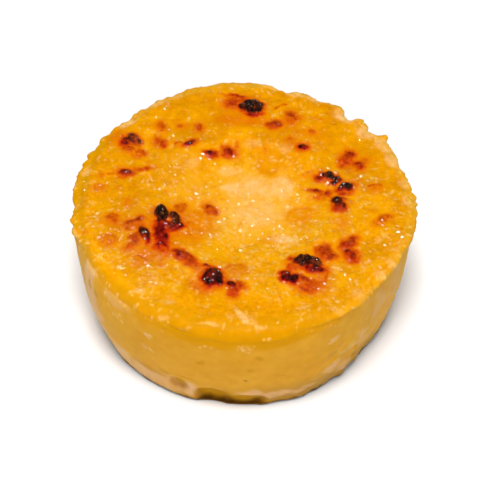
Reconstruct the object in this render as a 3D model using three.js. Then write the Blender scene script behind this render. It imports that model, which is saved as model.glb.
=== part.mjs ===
// A queijada: a small round custard cake, baked until its top skin blisters and scorches.
// Millimetres, +Z up, the front faces -Y, and the cake stands on z = 0.
import * as THREE from "three";

// Driving dimensions
const LIP_RADIUS = 35;
const LIP_HEIGHT = 27;
const BASE_RADIUS = 30.7;
const SIDE_BULGE = 0.8;
const FOOT_ROUND = 0.8;

// The top: a low plateau that rounds over to the lip, with a shallow dish in the middle
const PLATEAU_HEIGHT = 28;
const SHOULDER_WIDTH = 3.4;
const DISH_DEPTH = 1.5;
const DISH_FLOOR_RADIUS = 9;
const DISH_OUTER_RADIUS = 21;
const TOP_UNEVEN = 0.16;

// The lip hangs slightly over the side, most of all at the right front
const LIP_OVERHANG = 0.35;
const CRISP_LIP_OVERHANG = 0.5;
const CRISP_LIP_AZIMUTH = -32;
const CRISP_LIP_SPREAD = 34;

// The back of the lip stands a little higher than the front
const BACK_RISE = 0.45;

// Mesh fineness
const TOP_STEP = 1.25;
const SIDE_POINTS = 176;
const SIDE_HEIGHTS = [26.5, 25, 22.4, 19, 15.5, 12, 9, 6.6, 4.6, 2.8, 1.4, 0.5, 0];

// The innermost ring has an odd number of points, so that no edge runs through its middle
const UNDERSIDE_RINGS = [
  { radius: 27, count: 88 },
  { radius: 18, count: 44 },
  { radius: 6, count: 11 },
];

// How far the wander of the lip reaches inwards: a power of the share of the radius
const WANDER_POWER = 6;

// The outline's uneven places. Azimuths are counted from +X towards +Y, in degrees.
// "out" is how far the edge stands out there, in mm, and "spread" is in degrees.
const LIP_SWELLS = [
  { azimuth: 97, spread: 24, out: 0.95 },
  { azimuth: 106, spread: 6, out: 0.3 },
  { azimuth: 86, spread: 5, out: 0.35 },
  { azimuth: 74, spread: 7, out: -0.7 },
  { azimuth: 62, spread: 5, out: -0.7 },
  { azimuth: 53.5, spread: 3.5, out: 0.6 },
  { azimuth: 47, spread: 6, out: -1.5 },
  { azimuth: 44, spread: 2.2, out: 1.4 },
  { azimuth: 37.5, spread: 3.5, out: -0.7 },
  { azimuth: 32.5, spread: 2.2, out: 1.4 },
  { azimuth: 17, spread: 6, out: -0.6 },
  { azimuth: -7, spread: 17, out: 0.8 },
  { azimuth: 121, spread: 7, out: 0.4 },
  { azimuth: 136, spread: 5, out: -0.3 },
  { azimuth: 148, spread: 3, out: 0.25 },
  { azimuth: 165, spread: 7, out: 0.45 },
  { azimuth: -172, spread: 3, out: 0.3 },
  { azimuth: -167.5, spread: 3, out: 0.5 },
  { azimuth: -158, spread: 10, out: -0.5 },
];
const BASE_SWELLS = [
  { azimuth: -128, spread: 14, out: 0.55 },
  { azimuth: -95, spread: 12, out: -0.9 },
  { azimuth: -60, spread: 10, out: -0.3 },
  { azimuth: -36, spread: 16, out: -0.8 },
  { azimuth: 40, spread: 30, out: 0.35 },
  { azimuth: 150, spread: 24, out: -0.45 },
];
const BULGE_SWELLS = [
  { azimuth: -152, spread: 32, out: 0.7 },
  { azimuth: -18, spread: 20, out: 0.4 },
  { azimuth: 70, spread: 40, out: 0.4 },
];
const LIP_RIPPLES = [
  { waves: 5, phase: 40, out: 0.12 },
  { waves: 13, phase: 10, out: 0.1 },
  { waves: 23, phase: 75, out: 0.09 },
  { waves: 37, phase: 15, out: 0.08 },
];

// Hollows in the side, by azimuth and height: a small hole and a wide gap at the front foot,
// and two like them at the back
const SIDE_PITS = [
  { azimuth: -114, height: 6, wide: 2.3, high: 2.6, deep: 0.9 },
  { azimuth: -101, height: 3.2, wide: 4.2, high: 3.9, deep: 0.9 },
  { azimuth: -90, height: 3, wide: 5.2, high: 3, deep: 0.8 },
  { azimuth: 64, height: 4, wide: 5, high: 3, deep: 0.8 },
  { azimuth: 172, height: 8, wide: 2.4, high: 2, deep: 0.6 },
];

// Scorched blisters of the top skin, group by group:
// x, y, half length, half width, turn in degrees, height
const BACK_BLISTERS = [
  [2.2, 28.3, 2.1, 1.8, 0, 1.1],
  [-1.7, 31, 2.4, 1, -25, 0.4],
  [8.8, 24.8, 3.3, 2.6, 0, 0.8],
  [11.4, 24.4, 1.4, 1.6, 0, 0.5],
  [6.8, 22.7, 1.6, 1.4, 0, 0.8],
  [-17.3, 22.5, 1.4, 1.3, 0, 0.4],
  [-13.4, 22.8, 1.1, 1, 0, 0.3],
  [-9.2, 22.3, 1.6, 1.2, 20, 0.4],
  [16.2, 23, 1.7, 0.9, -20, 0.3],
  [15.9, 19.7, 2, 1.1, -35, 0.4],
  [12.7, 16.3, 1.2, 1.1, 0, 0.6],
];
const LEFT_BLISTERS = [
  [-24.9, 18.2, 1.5, 1.3, 0, 0.6],
  [-23, 18.4, 1.5, 1.3, 0, 0.7],
  [-23.4, 15.2, 2.5, 2.1, -20, 0.9],
  [-17.8, 17.6, 1.7, 1.2, -15, 0.5],
  [-13.4, 16.6, 1.2, 1.1, 0, 0.4],
  [-11.3, 16.7, 1.2, 1.1, 0, 0.7],
  [-6.7, 14, 1.4, 1, 0, 0.5],
  [-3, 14, 1.7, 1.2, 0, 0.6],
  [-24.4, 8.9, 1.7, 1.5, 0, 0.8],
  [-20.6, 9.8, 1.7, 0.9, 5, 0.4],
  [-28, 5, 1.6, 1.3, 0, 0.4],
  [-24.4, 0.4, 1.5, 1.3, 0, 0.3],
  [-26.4, -4.4, 1.7, 1.7, 0, 0.7],
  [-26.4, -8.8, 1.7, 1.5, 0, 0.4],
];
const MIDDLE_LEFT_BLISTERS = [
  [-16.4, -1.9, 1.5, 1.6, 0, 1.9],
  [-14, -3.3, 1.6, 1.7, 0, 1.3],
  [-12.6, -0.6, 2, 1.7, 0, 0.6],
  [-16.7, -7, 1.7, 4.4, -4, 1.3],
  [-14, -6, 1.5, 1.6, 0, 0.7],
  [-19.9, -7.9, 1.9, 1.2, -40, 1],
  [-21.8, -4.8, 2.1, 1.6, 10, 0.7],
  [-22.4, -9.9, 2.6, 1.4, 45, 0.7],
  [-7.9, -3.9, 2.5, 2.8, 10, 0.8],
  [-12, -14.2, 2.7, 1.5, -35, 0.8],
  [-21.7, -13.8, 1.6, 1.3, 0, 0.3],
];
const FRONT_BLISTERS = [
  [-5.7, -19.3, 2.5, 2.4, 0, 1.8],
  [-1.8, -22, 1.9, 1.4, -30, 0.7],
  [-2.2, -17.5, 2.3, 1.8, 0, 0.5],
  [12.7, -14.5, 2.8, 1.7, -8, 1.7],
  [12.8, -17.6, 3.6, 3.4, 0, 0.8],
  [12.4, -20.8, 2.1, 1.7, -20, 0.8],
  [8.5, -19.1, 1.7, 1.6, 0, 1.2],
  [10.4, -19, 1.2, 1.3, 0, 0.9],
  [16.4, -13.2, 1.8, 1.9, -30, 0.9],
  [21.1, -10, 1.8, 1.8, 0, 0.9],
  [21.3, -13.8, 1.6, 1.5, 0, 0.8],
];
const RIGHT_BLISTERS = [
  [22.3, 12.8, 2.6, 2.2, 0, 0.8],
  [24.5, 11, 1.6, 1.3, 0, 0.5],
  [18, 8.2, 3.1, 1.2, -18, 1.1],
  [20.9, 4.8, 1.8, 1.3, 0, 1],
  [14.8, 3.7, 1.3, 1.1, 0, 0.7],
  [17.1, 2.7, 1.6, 1.3, 30, 0.6],
  [19.3, 0.9, 1.4, 1.6, 0, 0.8],
  [13.2, 8.1, 2, 1.1, 0, 0.4],
  [27.3, 4.2, 1.8, 1.4, 0, 0.4],
  [12.3, -2.6, 3, 2.5, 0, 0.6],
  [21.2, -5, 2.2, 1.2, -70, 0.3],
  [28.8, -4.3, 1.9, 1.1, 25, 0.5],
  [5.2, 11, 3.6, 3.9, 0, 0.4],
];
const BLISTERS = [
  ...BACK_BLISTERS,
  ...LEFT_BLISTERS,
  ...MIDDLE_LEFT_BLISTERS,
  ...FRONT_BLISTERS,
  ...RIGHT_BLISTERS,
];

function smoothStep(low, high, value) {
  const share = THREE.MathUtils.clamp((value - low) / (high - low), 0, 1);
  return share * share * (3 - 2 * share);
}

// A smooth hump, 1 in the middle and 0 from a distance of 1 on, to either side
function hump(distance) {
  return Math.max(0, 1 - distance * distance) ** 2;
}

// The shortest way round from one azimuth to another, in degrees
function turnBetween(first, second) {
  return THREE.MathUtils.euclideanModulo(first - second + 180, 360) - 180;
}

function swellAt(swells, degrees) {
  let out = 0;
  for (const swell of swells) {
    out += swell.out * hump(turnBetween(degrees, swell.azimuth) / swell.spread);
  }
  return out;
}

function rippleAt(degrees) {
  let out = 0;
  for (const ripple of LIP_RIPPLES) {
    out += ripple.out * Math.sin(THREE.MathUtils.degToRad(ripple.waves * degrees + ripple.phase));
  }
  return out;
}

function lipWander(degrees) {
  return swellAt(LIP_SWELLS, degrees) + rippleAt(degrees);
}

function lipHeight(degrees) {
  return LIP_HEIGHT + BACK_RISE * hump(turnBetween(degrees, 90) / 110);
}

function blisterRise(x, y) {
  let rise = 0;
  for (const [centreX, centreY, long, wide, turn, high] of BLISTERS) {
    const angle = THREE.MathUtils.degToRad(turn);
    const dx = x - centreX;
    const dy = y - centreY;
    const along = (dx * Math.cos(angle) + dy * Math.sin(angle)) / long;
    const across = (dy * Math.cos(angle) - dx * Math.sin(angle)) / wide;
    rise = Math.max(rise, high * hump(0.8 * Math.hypot(along, across)));
  }
  return rise;
}

// Long low waves of the skin
function unevenness(x, y) {
  const slow = Math.sin(0.29 * x + 1.1) * Math.cos(0.24 * y - 0.5);
  const quick = Math.sin(0.71 * x - 0.4 * y) + Math.cos(0.62 * y + 0.35 * x + 0.8);
  return TOP_UNEVEN * (slow + 0.5 * quick);
}

// A point of the top, by its share of the way from the middle to the lip
function topPoint(share, degrees) {
  const radius = LIP_RADIUS * share + lipWander(degrees) * share ** WANDER_POWER;
  const angle = THREE.MathUtils.degToRad(degrees);
  const x = radius * Math.cos(angle);
  const y = radius * Math.sin(angle);
  const even = LIP_RADIUS * share;
  const dish = DISH_DEPTH * (1 - smoothStep(DISH_FLOOR_RADIUS, DISH_OUTER_RADIUS, even));
  const onShoulder = Math.max(0, (even - LIP_RADIUS + SHOULDER_WIDTH) / SHOULDER_WIDTH);
  const lip = lipHeight(degrees);
  const plateau = PLATEAU_HEIGHT + lip - LIP_HEIGHT;
  const drop = (plateau - lip) * (1 - Math.sqrt(Math.max(0, 1 - onShoulder ** 2)));
  const fade = 1 - onShoulder ** 4;
  const relief = (blisterRise(x, y) + unevenness(x, y)) * fade;
  return new THREE.Vector3(x, y, plateau - dish - drop + relief);
}

function pitDepth(degrees, height) {
  let depth = 0;
  for (const pit of SIDE_PITS) {
    const sideways = THREE.MathUtils.degToRad(turnBetween(degrees, pit.azimuth)) * BASE_RADIUS;
    const distance = Math.hypot(sideways / pit.wide, (height - pit.height) / pit.high);
    depth = Math.max(depth, pit.deep * hump(0.85 * distance));
  }
  return depth;
}

// A point of the side, by its height
function sidePoint(height, degrees) {
  const top = lipHeight(degrees);
  const share = height / LIP_HEIGHT;
  const crisp = CRISP_LIP_OVERHANG * hump(turnBetween(degrees, CRISP_LIP_AZIMUTH) / CRISP_LIP_SPREAD);
  const lip = LIP_RADIUS - LIP_OVERHANG - crisp + lipWander(degrees) * share;
  const base = BASE_RADIUS + swellAt(BASE_SWELLS, degrees);
  const intoFoot = Math.max(0, 1 - height / FOOT_ROUND);
  const foot = FOOT_ROUND * (1 - Math.sqrt(1 - intoFoot ** 2));
  const bulge = (SIDE_BULGE + swellAt(BULGE_SWELLS, degrees)) * Math.sin(Math.PI * share);
  const radius = THREE.MathUtils.lerp(base, lip, share) + bulge - foot - pitDepth(degrees, height);
  const angle = THREE.MathUtils.degToRad(degrees);
  return new THREE.Vector3(radius * Math.cos(angle), radius * Math.sin(angle), top * share);
}

// One ring of points, as many as asked for, from a function of the azimuth
function addRing(surface, count, pointAt) {
  const first = surface.points.length;
  for (let index = 0; index < count; index += 1) {
    surface.points.push(pointAt((360 * index) / count));
  }
  const ring = { first, count };
  if (surface.lastRing) {
    stitch(surface.faces, surface.lastRing, ring);
  }
  surface.lastRing = ring;
}

// Joins two neighbouring rings, which may differ in their number of points
function stitch(faces, before, after) {
  let here = 0;
  let there = 0;
  while (here < before.count || there < after.count) {
    const a = before.first + (here % before.count);
    const b = after.first + (there % after.count);
    const nextHere = (here + 1) / before.count;
    const nextThere = (there + 1) / after.count;
    if (nextHere < nextThere) {
      if (before.count > 1) {
        faces.push(a, b, before.first + ((here + 1) % before.count));
      }
      here += 1;
    } else {
      if (after.count > 1) {
        faces.push(a, b, after.first + ((there + 1) % after.count));
      }
      there += 1;
    }
  }
}

function addTop(surface) {
  const rings = Math.round(LIP_RADIUS / TOP_STEP);
  addRing(surface, 1, (degrees) => topPoint(0, degrees));
  for (let index = 1; index < rings; index += 1) {
    const share = index / rings;
    const count = Math.round((2 * Math.PI * LIP_RADIUS * share) / TOP_STEP);
    addRing(surface, count, (degrees) => topPoint(share, degrees));
  }
  addRing(surface, SIDE_POINTS, (degrees) => topPoint(1, degrees));
}

function addSide(surface) {
  for (const height of SIDE_HEIGHTS) {
    addRing(surface, SIDE_POINTS, (degrees) => sidePoint(height, degrees));
  }
}

function addUnderside(surface) {
  for (const { radius, count } of UNDERSIDE_RINGS) {
    addRing(surface, count, (degrees) => {
      const angle = THREE.MathUtils.degToRad(degrees);
      return new THREE.Vector3(radius * Math.cos(angle), radius * Math.sin(angle), 0);
    });
  }
}

// Closes the flat underside across its innermost ring
function closeUnderside(surface) {
  const { first, count } = surface.lastRing;
  for (let index = 1; index < count - 1; index += 1) {
    surface.faces.push(first, first + index + 1, first + index);
  }
}

// The middle of the cake's outline, so that the cake stands over its origin
function outlineCentre() {
  const box = new THREE.Box2();
  for (let degrees = 0; degrees < 360; degrees += 1) {
    const point = topPoint(1, degrees);
    box.expandByPoint(new THREE.Vector2(point.x, point.y));
  }
  return box.getCenter(new THREE.Vector2());
}

function cakeGeometry() {
  const surface = { points: [], faces: [], lastRing: null };
  addTop(surface);
  addSide(surface);
  addUnderside(surface);
  closeUnderside(surface);
  const geometry = new THREE.BufferGeometry().setFromPoints(surface.points);
  geometry.setIndex(surface.faces);
  const centre = outlineCentre();
  geometry.translate(-centre.x, -centre.y, 0);
  geometry.computeVertexNormals();
  return geometry;
}

const custard = new THREE.MeshStandardMaterial({ color: 0xeea514, roughness: 0.35, metalness: 0 });

const queijada = new THREE.Mesh(cakeGeometry(), custard);
queijada.name = "queijada";

const cake = new THREE.Group();
cake.add(queijada);

export default cake;
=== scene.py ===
import itertools
import math
from collections import namedtuple

import bpy
import numpy as np
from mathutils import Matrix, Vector


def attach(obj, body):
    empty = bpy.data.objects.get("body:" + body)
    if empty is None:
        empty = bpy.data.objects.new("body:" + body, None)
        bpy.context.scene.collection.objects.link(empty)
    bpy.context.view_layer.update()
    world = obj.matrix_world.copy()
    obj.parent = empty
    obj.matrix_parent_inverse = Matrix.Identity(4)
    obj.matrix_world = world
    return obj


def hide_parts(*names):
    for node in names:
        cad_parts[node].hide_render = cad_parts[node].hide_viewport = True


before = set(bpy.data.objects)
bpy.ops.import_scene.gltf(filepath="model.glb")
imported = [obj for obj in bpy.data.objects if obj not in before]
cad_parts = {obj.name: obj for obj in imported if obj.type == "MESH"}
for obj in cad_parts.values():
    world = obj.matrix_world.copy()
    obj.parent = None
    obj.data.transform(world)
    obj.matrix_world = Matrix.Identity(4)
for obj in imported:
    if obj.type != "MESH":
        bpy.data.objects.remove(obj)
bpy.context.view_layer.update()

# A millimetre, how far the floor lies below the cake and how wide it is, in metres
MM = 0.001
FLOOR_DEPTH = 0.05 * MM
FLOOR_SIZE = 3.0

# The cake's driving dimensions
LIP_RADIUS = 35.0
LIP_HEIGHT = 27.0
BASE_RADIUS = 30.7
SIDE_BULGE = 0.8
FOOT_ROUND = 0.8

# The top: a low plateau that rounds over to the lip, with a shallow dish in the middle
PLATEAU_HEIGHT = 28.0
SHOULDER_WIDTH = 3.4
DISH_DEPTH = 1.5
DISH_FLOOR_RADIUS = 9.0
DISH_OUTER_RADIUS = 21.0
TOP_UNEVEN = 0.16

# The lip hangs slightly over the side, most of all at the right front, and rises at the
# back. Its uneven outline and its nubs fade inwards with these powers of the radius.
LIP_OVERHANG = 0.35
CRISP_LIP_OVERHANG = 0.35
BACK_RISE = 0.45
WANDER_POWER = 6
NUBS_POWER = 30

# Stretches of the lip. Azimuths are counted from +X towards +Y, in degrees. The first three
# are each an azimuth and how far from it they fade out. The last two are an azimuth, the
# angle up to which they are whole, and the one at which they end.
CRISP_STRETCH = (-32, 34)
RAISED_STRETCH = (90, 110)
WRAPPED_STRETCH = (-90, 58)
SOFT_STRETCH = (-110, 38, 62)
AMBER_AND_SHADE_STRETCH = (-140, 68, 98)

# The height at which the top skin ends on the side, and how much lower it reaches in front
SKIN_END = 26.3
SKIN_WRAP = 2.4

# Mesh fineness, and the rings of the foot and of the underside
TOP_STEP = 0.236
SIDE_STEP = 0.55
UNDERSIDE_STEP = 1.5
UNDERSIDE_RADIUS = BASE_RADIUS - FOOT_ROUND - 2.5
FOOT_HEIGHTS = (0.8, 0.5, 0.25, 0.08, 0.0)

# The sheets' cells and half their width, and the radius at which the side's noise is read
CELL = 0.1
HALF_SHEET = 38.0
HALFWAY_RADIUS = 33.0

# Uneven places of the lip, the base and the bulge: azimuth, reach to either side, how far out
Swell = namedtuple("Swell", "azimuth spread out")


def each(kind, *rows):
    """One thing of a kind from every row of its values."""
    return tuple(kind(*row) for row in rows)


LIP_SWELLS = each(
    Swell,
    (97, 24, 0.95),
    (106, 6, 0.3),
    (86, 5, 0.35),
    (74, 7, -0.7),
    (62, 5, -0.7),
    (53.5, 3.5, 0.6),
    (47, 6, -1.5),
    (44, 2.2, 1.4),
    (37.5, 3.5, -0.7),
    (32.5, 2.2, 1.4),
    (17, 6, -0.6),
    (-7, 17, 0.8),
    (121, 7, 0.4),
    (136, 5, -0.3),
    (148, 3, 0.25),
    (165, 7, 0.45),
    (-172, 3, 0.3),
    (-167.5, 3, 0.5),
    (-158, 10, -0.5),
)
BASE_SWELLS = each(
    Swell,
    (-133, 28, 0.7),
    (-112, 14, 0.4),
    (-89, 15, 0.4),
    (-68, 12, 0.4),
    (-36, 16, -0.8),
    (40, 30, 0.35),
    (150, 24, -0.45),
)
BULGE_SWELLS = each(
    Swell,
    (-150, 30, 1.0),
    (-18, 20, 0.4),
    (70, 40, 0.4),
)

# Ripples of the lip: how many waves go round, their phase in degrees, how far out
Ripple = namedtuple("Ripple", "waves phase out")
LIP_RIPPLES = each(
    Ripple,
    (5, 40, 0.12),
    (13, 10, 0.1),
    (23, 75, 0.09),
    (37, 15, 0.08),
)

# Hollows in the side: azimuth, height, half width, half height, depth
Pit = namedtuple("Pit", "azimuth height wide high deep")
SIDE_PITS = each(
    Pit,
    (-114, 6, 2.3, 2.6, 0.9),
    (-101, 3.2, 4.2, 3.9, 1.5),
    (-90, 2.6, 5.2, 2.8, 1.2),
    (64, 4, 5, 3, 0.8),
    (172, 8, 2.4, 2, 0.35),
)

# Blisters of the top skin: place, half length, half width, turn in degrees and height,
# then how burnt each is (1 is black), how red, and how strong the orange stain round it is
Blister = namedtuple("Blister", "x y long wide turn high scorch red stain")
BACK_BLISTERS = each(
    Blister,
    (1.9, 27.2, 2.5, 1.7, 0, 1.4, 1.05, 0.2, 0.6),
    (0.3, 27.0, 0.8, 1.0, 0, 0.7, 0.8, 0.7, 0.6),
    (2.4, 25.2, 1.3, 0.5, 0, 0.4, 0.6, 1, 0.7),
    (-1.1, 30.3, 2.1, 0.5, -16, 0.3, 0.5, 0.6, 0.7),
    (-1.2, 28.5, 2.9, 1.8, 0, 0.4, 0.4, 0.5, 0.7),
    (-1.0, 23.5, 3.4, 1.3, 0, 0.2, 0.12, 0.3, 0.8),
    (2.6, 23.1, 2.5, 1.0, 0, 0.2, 0.1, 0.3, 0.7),
    (6.8, 21.9, 1.3, 0.9, 0, 1.0, 0.58, 0.4, 0.8),
    (10.4, 23.5, 2.0, 1.5, 87, 0.6, 0.3, 0.4, 0.8),
    (10.7, 24.9, 1.0, 0.5, -36, 0.5, 0.55, 0.3, 0.6),
    (12.7, 15.3, 0.9, 0.8, 0, 0.7, 0.78, 0.8, 0.6),
    (10.9, 16.0, 0.9, 0.9, 0, 0.2, 0.22, 0.2, 0.4),
    (10.0, 17.9, 0.6, 0.5, 0, 0.2, 0.34, 0.2, 0.4),
    (14.7, 19.8, 0.9, 0.8, 0, 0.3, 0.28, 0.1, 0.6),
    (13.0, 18.4, 3.2, 2.8, 0, 0.1, 0, 0.2, 0.5),
    (-3.1, 14.5, 1.4, 1.1, -30, 0.7, 0.6, 0.6, 0.6),
    (-1.3, 16.1, 0.6, 1.1, 0, 0.3, 0.24, 0.1, 0.3),
    (4.7, 14.4, 0.5, 1.1, 0, 0.3, 0.2, 0.1, 0.2),
    (16.0, 23.7, 1.5, 0.4, -20, 0.2, 0.18, 0.1, 0.4),
)
LEFT_BLISTERS = each(
    Blister,
    (-24.9, 17.1, 0.9, 1.1, 0, 0.7, 0.66, 1, 0.8),
    (-23.2, 17.6, 1.4, 1.2, -51, 0.8, 0.7, 0, 0.6),
    (-23.6, 18.7, 0.7, 0.5, 0, 0.6, 0.8, 0, 0.5),
    (-22.1, 16.9, 0.5, 0.7, 0, 0.4, 0.7, 0, 0.5),
    (-26.7, 18.0, 1.5, 1.6, 0, 0.2, 0.14, 0.3, 0.9),
    (-24.0, 14.7, 1.2, 0.9, 0, 0.5, 0.36, 0.3, 0.6),
    (-21.7, 13.6, 1.0, 0.8, 0, 0.4, 0.36, 0.4, 0.6),
    (-17.3, 21.5, 1.2, 1.4, 0, 0.4, 0.32, 0.1, 0.4),
    (-13.1, 21.5, 0.8, 0.7, 0, 0.3, 0.32, 0.1, 0.3),
    (-13.9, 23.4, 0.6, 0.6, 0, 0.2, 0.16, 0.1, 0.2),
    (-9.2, 21.0, 1.3, 1.0, -88, 0.4, 0.34, 0.2, 0.4),
    (-18.1, 17.5, 1.0, 1.3, 0, 0.4, 0.36, 0.3, 0.4),
    (-16.9, 16.3, 0.6, 0.8, 0, 0.4, 0.46, 0.5, 0.4),
    (-13.5, 15.9, 0.9, 0.7, 0, 0.3, 0.26, 0.2, 0.4),
    (-11.4, 15.9, 1.1, 0.5, 12, 0.6, 0.8, 0.8, 0.5),
    (-10.2, 16.7, 0.6, 0.4, 17, 0.4, 0.7, 0.2, 0.3),
    (-6.6, 13.7, 1.1, 0.7, -9, 0.6, 0.62, 0.7, 0.4),
    (-24.4, 8.2, 1.3, 1.0, 0, 1.0, 0.66, 0.5, 0.6),
    (-20.8, 9.1, 1.5, 0.5, 11, 0.3, 0.42, 0.3, 0.5),
    (-29.4, 7.2, 0.6, 0.7, 0, 0.2, 0.26, 0.1, 0.3),
    (-27.5, 7.9, 1.0, 0.4, 0, 0.1, 0.22, 0.1, 0.2),
    (-29.5, 3.7, 1.2, 0.9, 0, 0.3, 0.2, 0.1, 0.3),
    (-25.5, 3.8, 0.6, 0.6, 0, 0.2, 0.14, 0.1, 0.3),
    (-23.4, -0.2, 1.3, 1.3, 0, 0.3, 0.16, 0.1, 0.3),
    (-19.4, 10.6, 0.8, 0.8, 0, 0.2, 0.12, 0.1, 0.3),
)
MIDDLE_LEFT_BLISTERS = each(
    Blister,
    (-16.6, -3.1, 1.35, 1.5, 0, 2.7, 1.25, 0, 0.5),
    (-16.9, -5.0, 0.5, 0.5, 0, 1.0, 0.95, 0.4, 0.6),
    (-13.9, -3.2, 1.3, 1.0, -48, 1.1, 0.9, 0.1, 0.6),
    (-13.8, -5.3, 1.5, 0.8, 44, 1.4, 1, 0.1, 0.7),
    (-13.3, -6.4, 1.8, 0.8, 35, 0.8, 0.76, 1, 0.9),
    (-15.6, -5.7, 1.5, 1.3, 0, 1.0, 0.66, 1, 0.9),
    (-16.3, -8.6, 1.6, 3.8, 0, 1.2, 0.62, 1, 0.9),
    (-16.3, -11.8, 1.3, 1.4, 0, 0.9, 0.55, 1, 0.9),
    (-15.6, -13.1, 1.6, 1.0, -47, 0.4, 0.4, 0.8, 0.9),
    (-17.0, -9.6, 1.9, 4.7, 0, 0.2, 0.28, 0.9, 0.9),
    (-12.4, -6.5, 3.4, 3.2, 0, 0.4, 0.12, 0.3, 1),
    (-12.8, -0.7, 1.4, 1.3, 0, 0.5, 0.3, 0, 0.3),
    (-6.6, -0.8, 1.3, 0.8, -54, 0.7, 0.5, 0.2, 0.5),
    (-8.2, -3.7, 2.3, 3.1, 0, 0.6, 0.1, 0.2, 0.7),
    (-19.7, -8.7, 1.9, 1.1, -61, 1.3, 0.88, 0.4, 0.8),
    (-19.1, -10.0, 0.9, 0.6, -71, 0.7, 0.74, 0.9, 0.8),
    (-22.0, -6.1, 1.9, 1.2, 24, 1.0, 0.42, 0.1, 0.7),
    (-21.1, -5.3, 0.6, 0.6, 0, 0.4, 0.56, 0.4, 0.5),
    (-21.5, -10.1, 2.1, 1.1, 65, 0.9, 0.4, 0.3, 0.9),
    (-22.6, -11.8, 1.2, 0.8, 53, 0.6, 0.34, 0.2, 0.8),
    (-26.8, -4.8, 1.7, 1.1, 0, 0.8, 0.3, 0.1, 0.6),
    (-25.8, -5.6, 0.9, 0.6, -33, 0.4, 0.34, 0.3, 0.6),
    (-26.6, -10.6, 1.5, 1.6, 0, 0.6, 0.24, 0.1, 0.5),
    (-20.5, -15.9, 1.6, 1.6, 0, 0.4, 0.16, 0.2, 0.6),
    (-19.9, -12.9, 2.1, 1.3, 0, 0.2, 0.08, 0.3, 1),
    (-31.8, -8.4, 0.6, 0.6, 0, 0.3, 0.2, 0, 0.2),
)
FRONT_BLISTERS = each(
    Blister,
    (-11.7, -14.7, 2.1, 1.1, -46, 0.8, 0.56, 0.6, 0.8),
    (-12.6, -14.2, 1.2, 0.7, -38, 0.7, 0.66, 0.7, 0.7),
    (-9.9, -16.5, 1.5, 0.8, -49, 0.6, 0.46, 0.4, 0.7),
    (-5.9, -20.3, 2.2, 2.3, 0, 1.6, 0.86, 0.7, 0.9),
    (-5.0, -19.7, 1.4, 0.9, -60, 1.8, 1, 0.4, 0.8),
    (-5.4, -21.5, 1.6, 1.0, 17, 1.4, 0.9, 0.8, 0.9),
    (-7.2, -20.4, 1.0, 1.2, 0, 1.3, 0.7, 1, 0.9),
    (-7.1, -17.5, 0.8, 0.3, 0, 0.8, 0.66, 0.4, 0.6),
    (-6.7, -22.3, 1.9, 0.9, 0, 0.4, 0.38, 0.8, 1),
    (-7.7, -21.4, 1.7, 1.9, 0, 0.2, 0.16, 0.5, 1),
    (-2.3, -22.5, 1.1, 0.7, -46, 0.9, 0.76, 0.8, 0.9),
    (-0.7, -22.6, 1.0, 0.6, -16, 0.6, 0.5, 0.5, 0.8),
    (-1.8, -24.0, 1.2, 0.9, -86, 0.6, 0.46, 0.7, 0.9),
    (-1.2, -18.3, 2.4, 1.7, -9, 0.5, 0.16, 0.2, 0.5),
    (-3.4, -17.4, 0.7, 0.6, 0, 0.3, 0.2, 0.1, 0.4),
    (12.7, -16.3, 2.6, 1.2, 0, 1.7, 1, 0.3, 0.9),
    (14.4, -16.6, 1.3, 1.0, -77, 1.6, 1, 0.2, 0.8),
    (11.2, -15.6, 1.0, 0.5, 30, 1.0, 0.96, 0.4, 0.8),
    (10.1, -15.8, 0.6, 0.5, 0, 0.6, 0.62, 1, 0.9),
    (13.9, -18.1, 1.9, 0.8, -12, 0.8, 0.72, 1, 1),
    (9.8, -17.7, 1.3, 1.5, 0, 0.5, 0.34, 0.7, 1),
    (8.6, -20.0, 1.1, 1.1, 0, 1.1, 0.82, 0.9, 0.9),
    (10.2, -20.5, 0.9, 0.9, 0, 1.0, 0.84, 0.9, 0.9),
    (12.8, -22.2, 1.9, 1.5, 0, 0.8, 0.42, 0.5, 0.7),
    (12.3, -20.6, 1.4, 0.4, -33, 0.7, 0.6, 0.5, 0.9),
    (15.4, -20.0, 1.3, 3.2, 0, 0.5, 0.22, 0.4, 0.6),
    (14.2, -22.7, 1.9, 1.3, 0, 0.3, 0.2, 0.5, 0.7),
    (16.4, -13.9, 1.9, 1.4, -48, 0.8, 0.48, 0.4, 0.5),
    (15.9, -12.8, 0.9, 0.7, 0, 0.6, 0.6, 0.5, 0.5),
    (17.8, -14.7, 0.6, 0.4, -50, 0.4, 0.62, 0.3, 0.4),
    (21.1, -11.5, 1.9, 1.3, 48, 0.9, 0.5, 0.6, 0.6),
    (20.4, -11.7, 0.8, 0.9, 0, 0.7, 0.6, 0.7, 0.5),
    (22.0, -10.1, 0.8, 0.6, 0, 0.6, 0.56, 0.5, 0.5),
    (21.5, -14.8, 1.4, 1.4, 0, 0.8, 0.5, 0.6, 0.7),
    (21.3, -13.9, 0.9, 0.6, 0, 0.6, 0.62, 0.8, 0.6),
)
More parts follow.
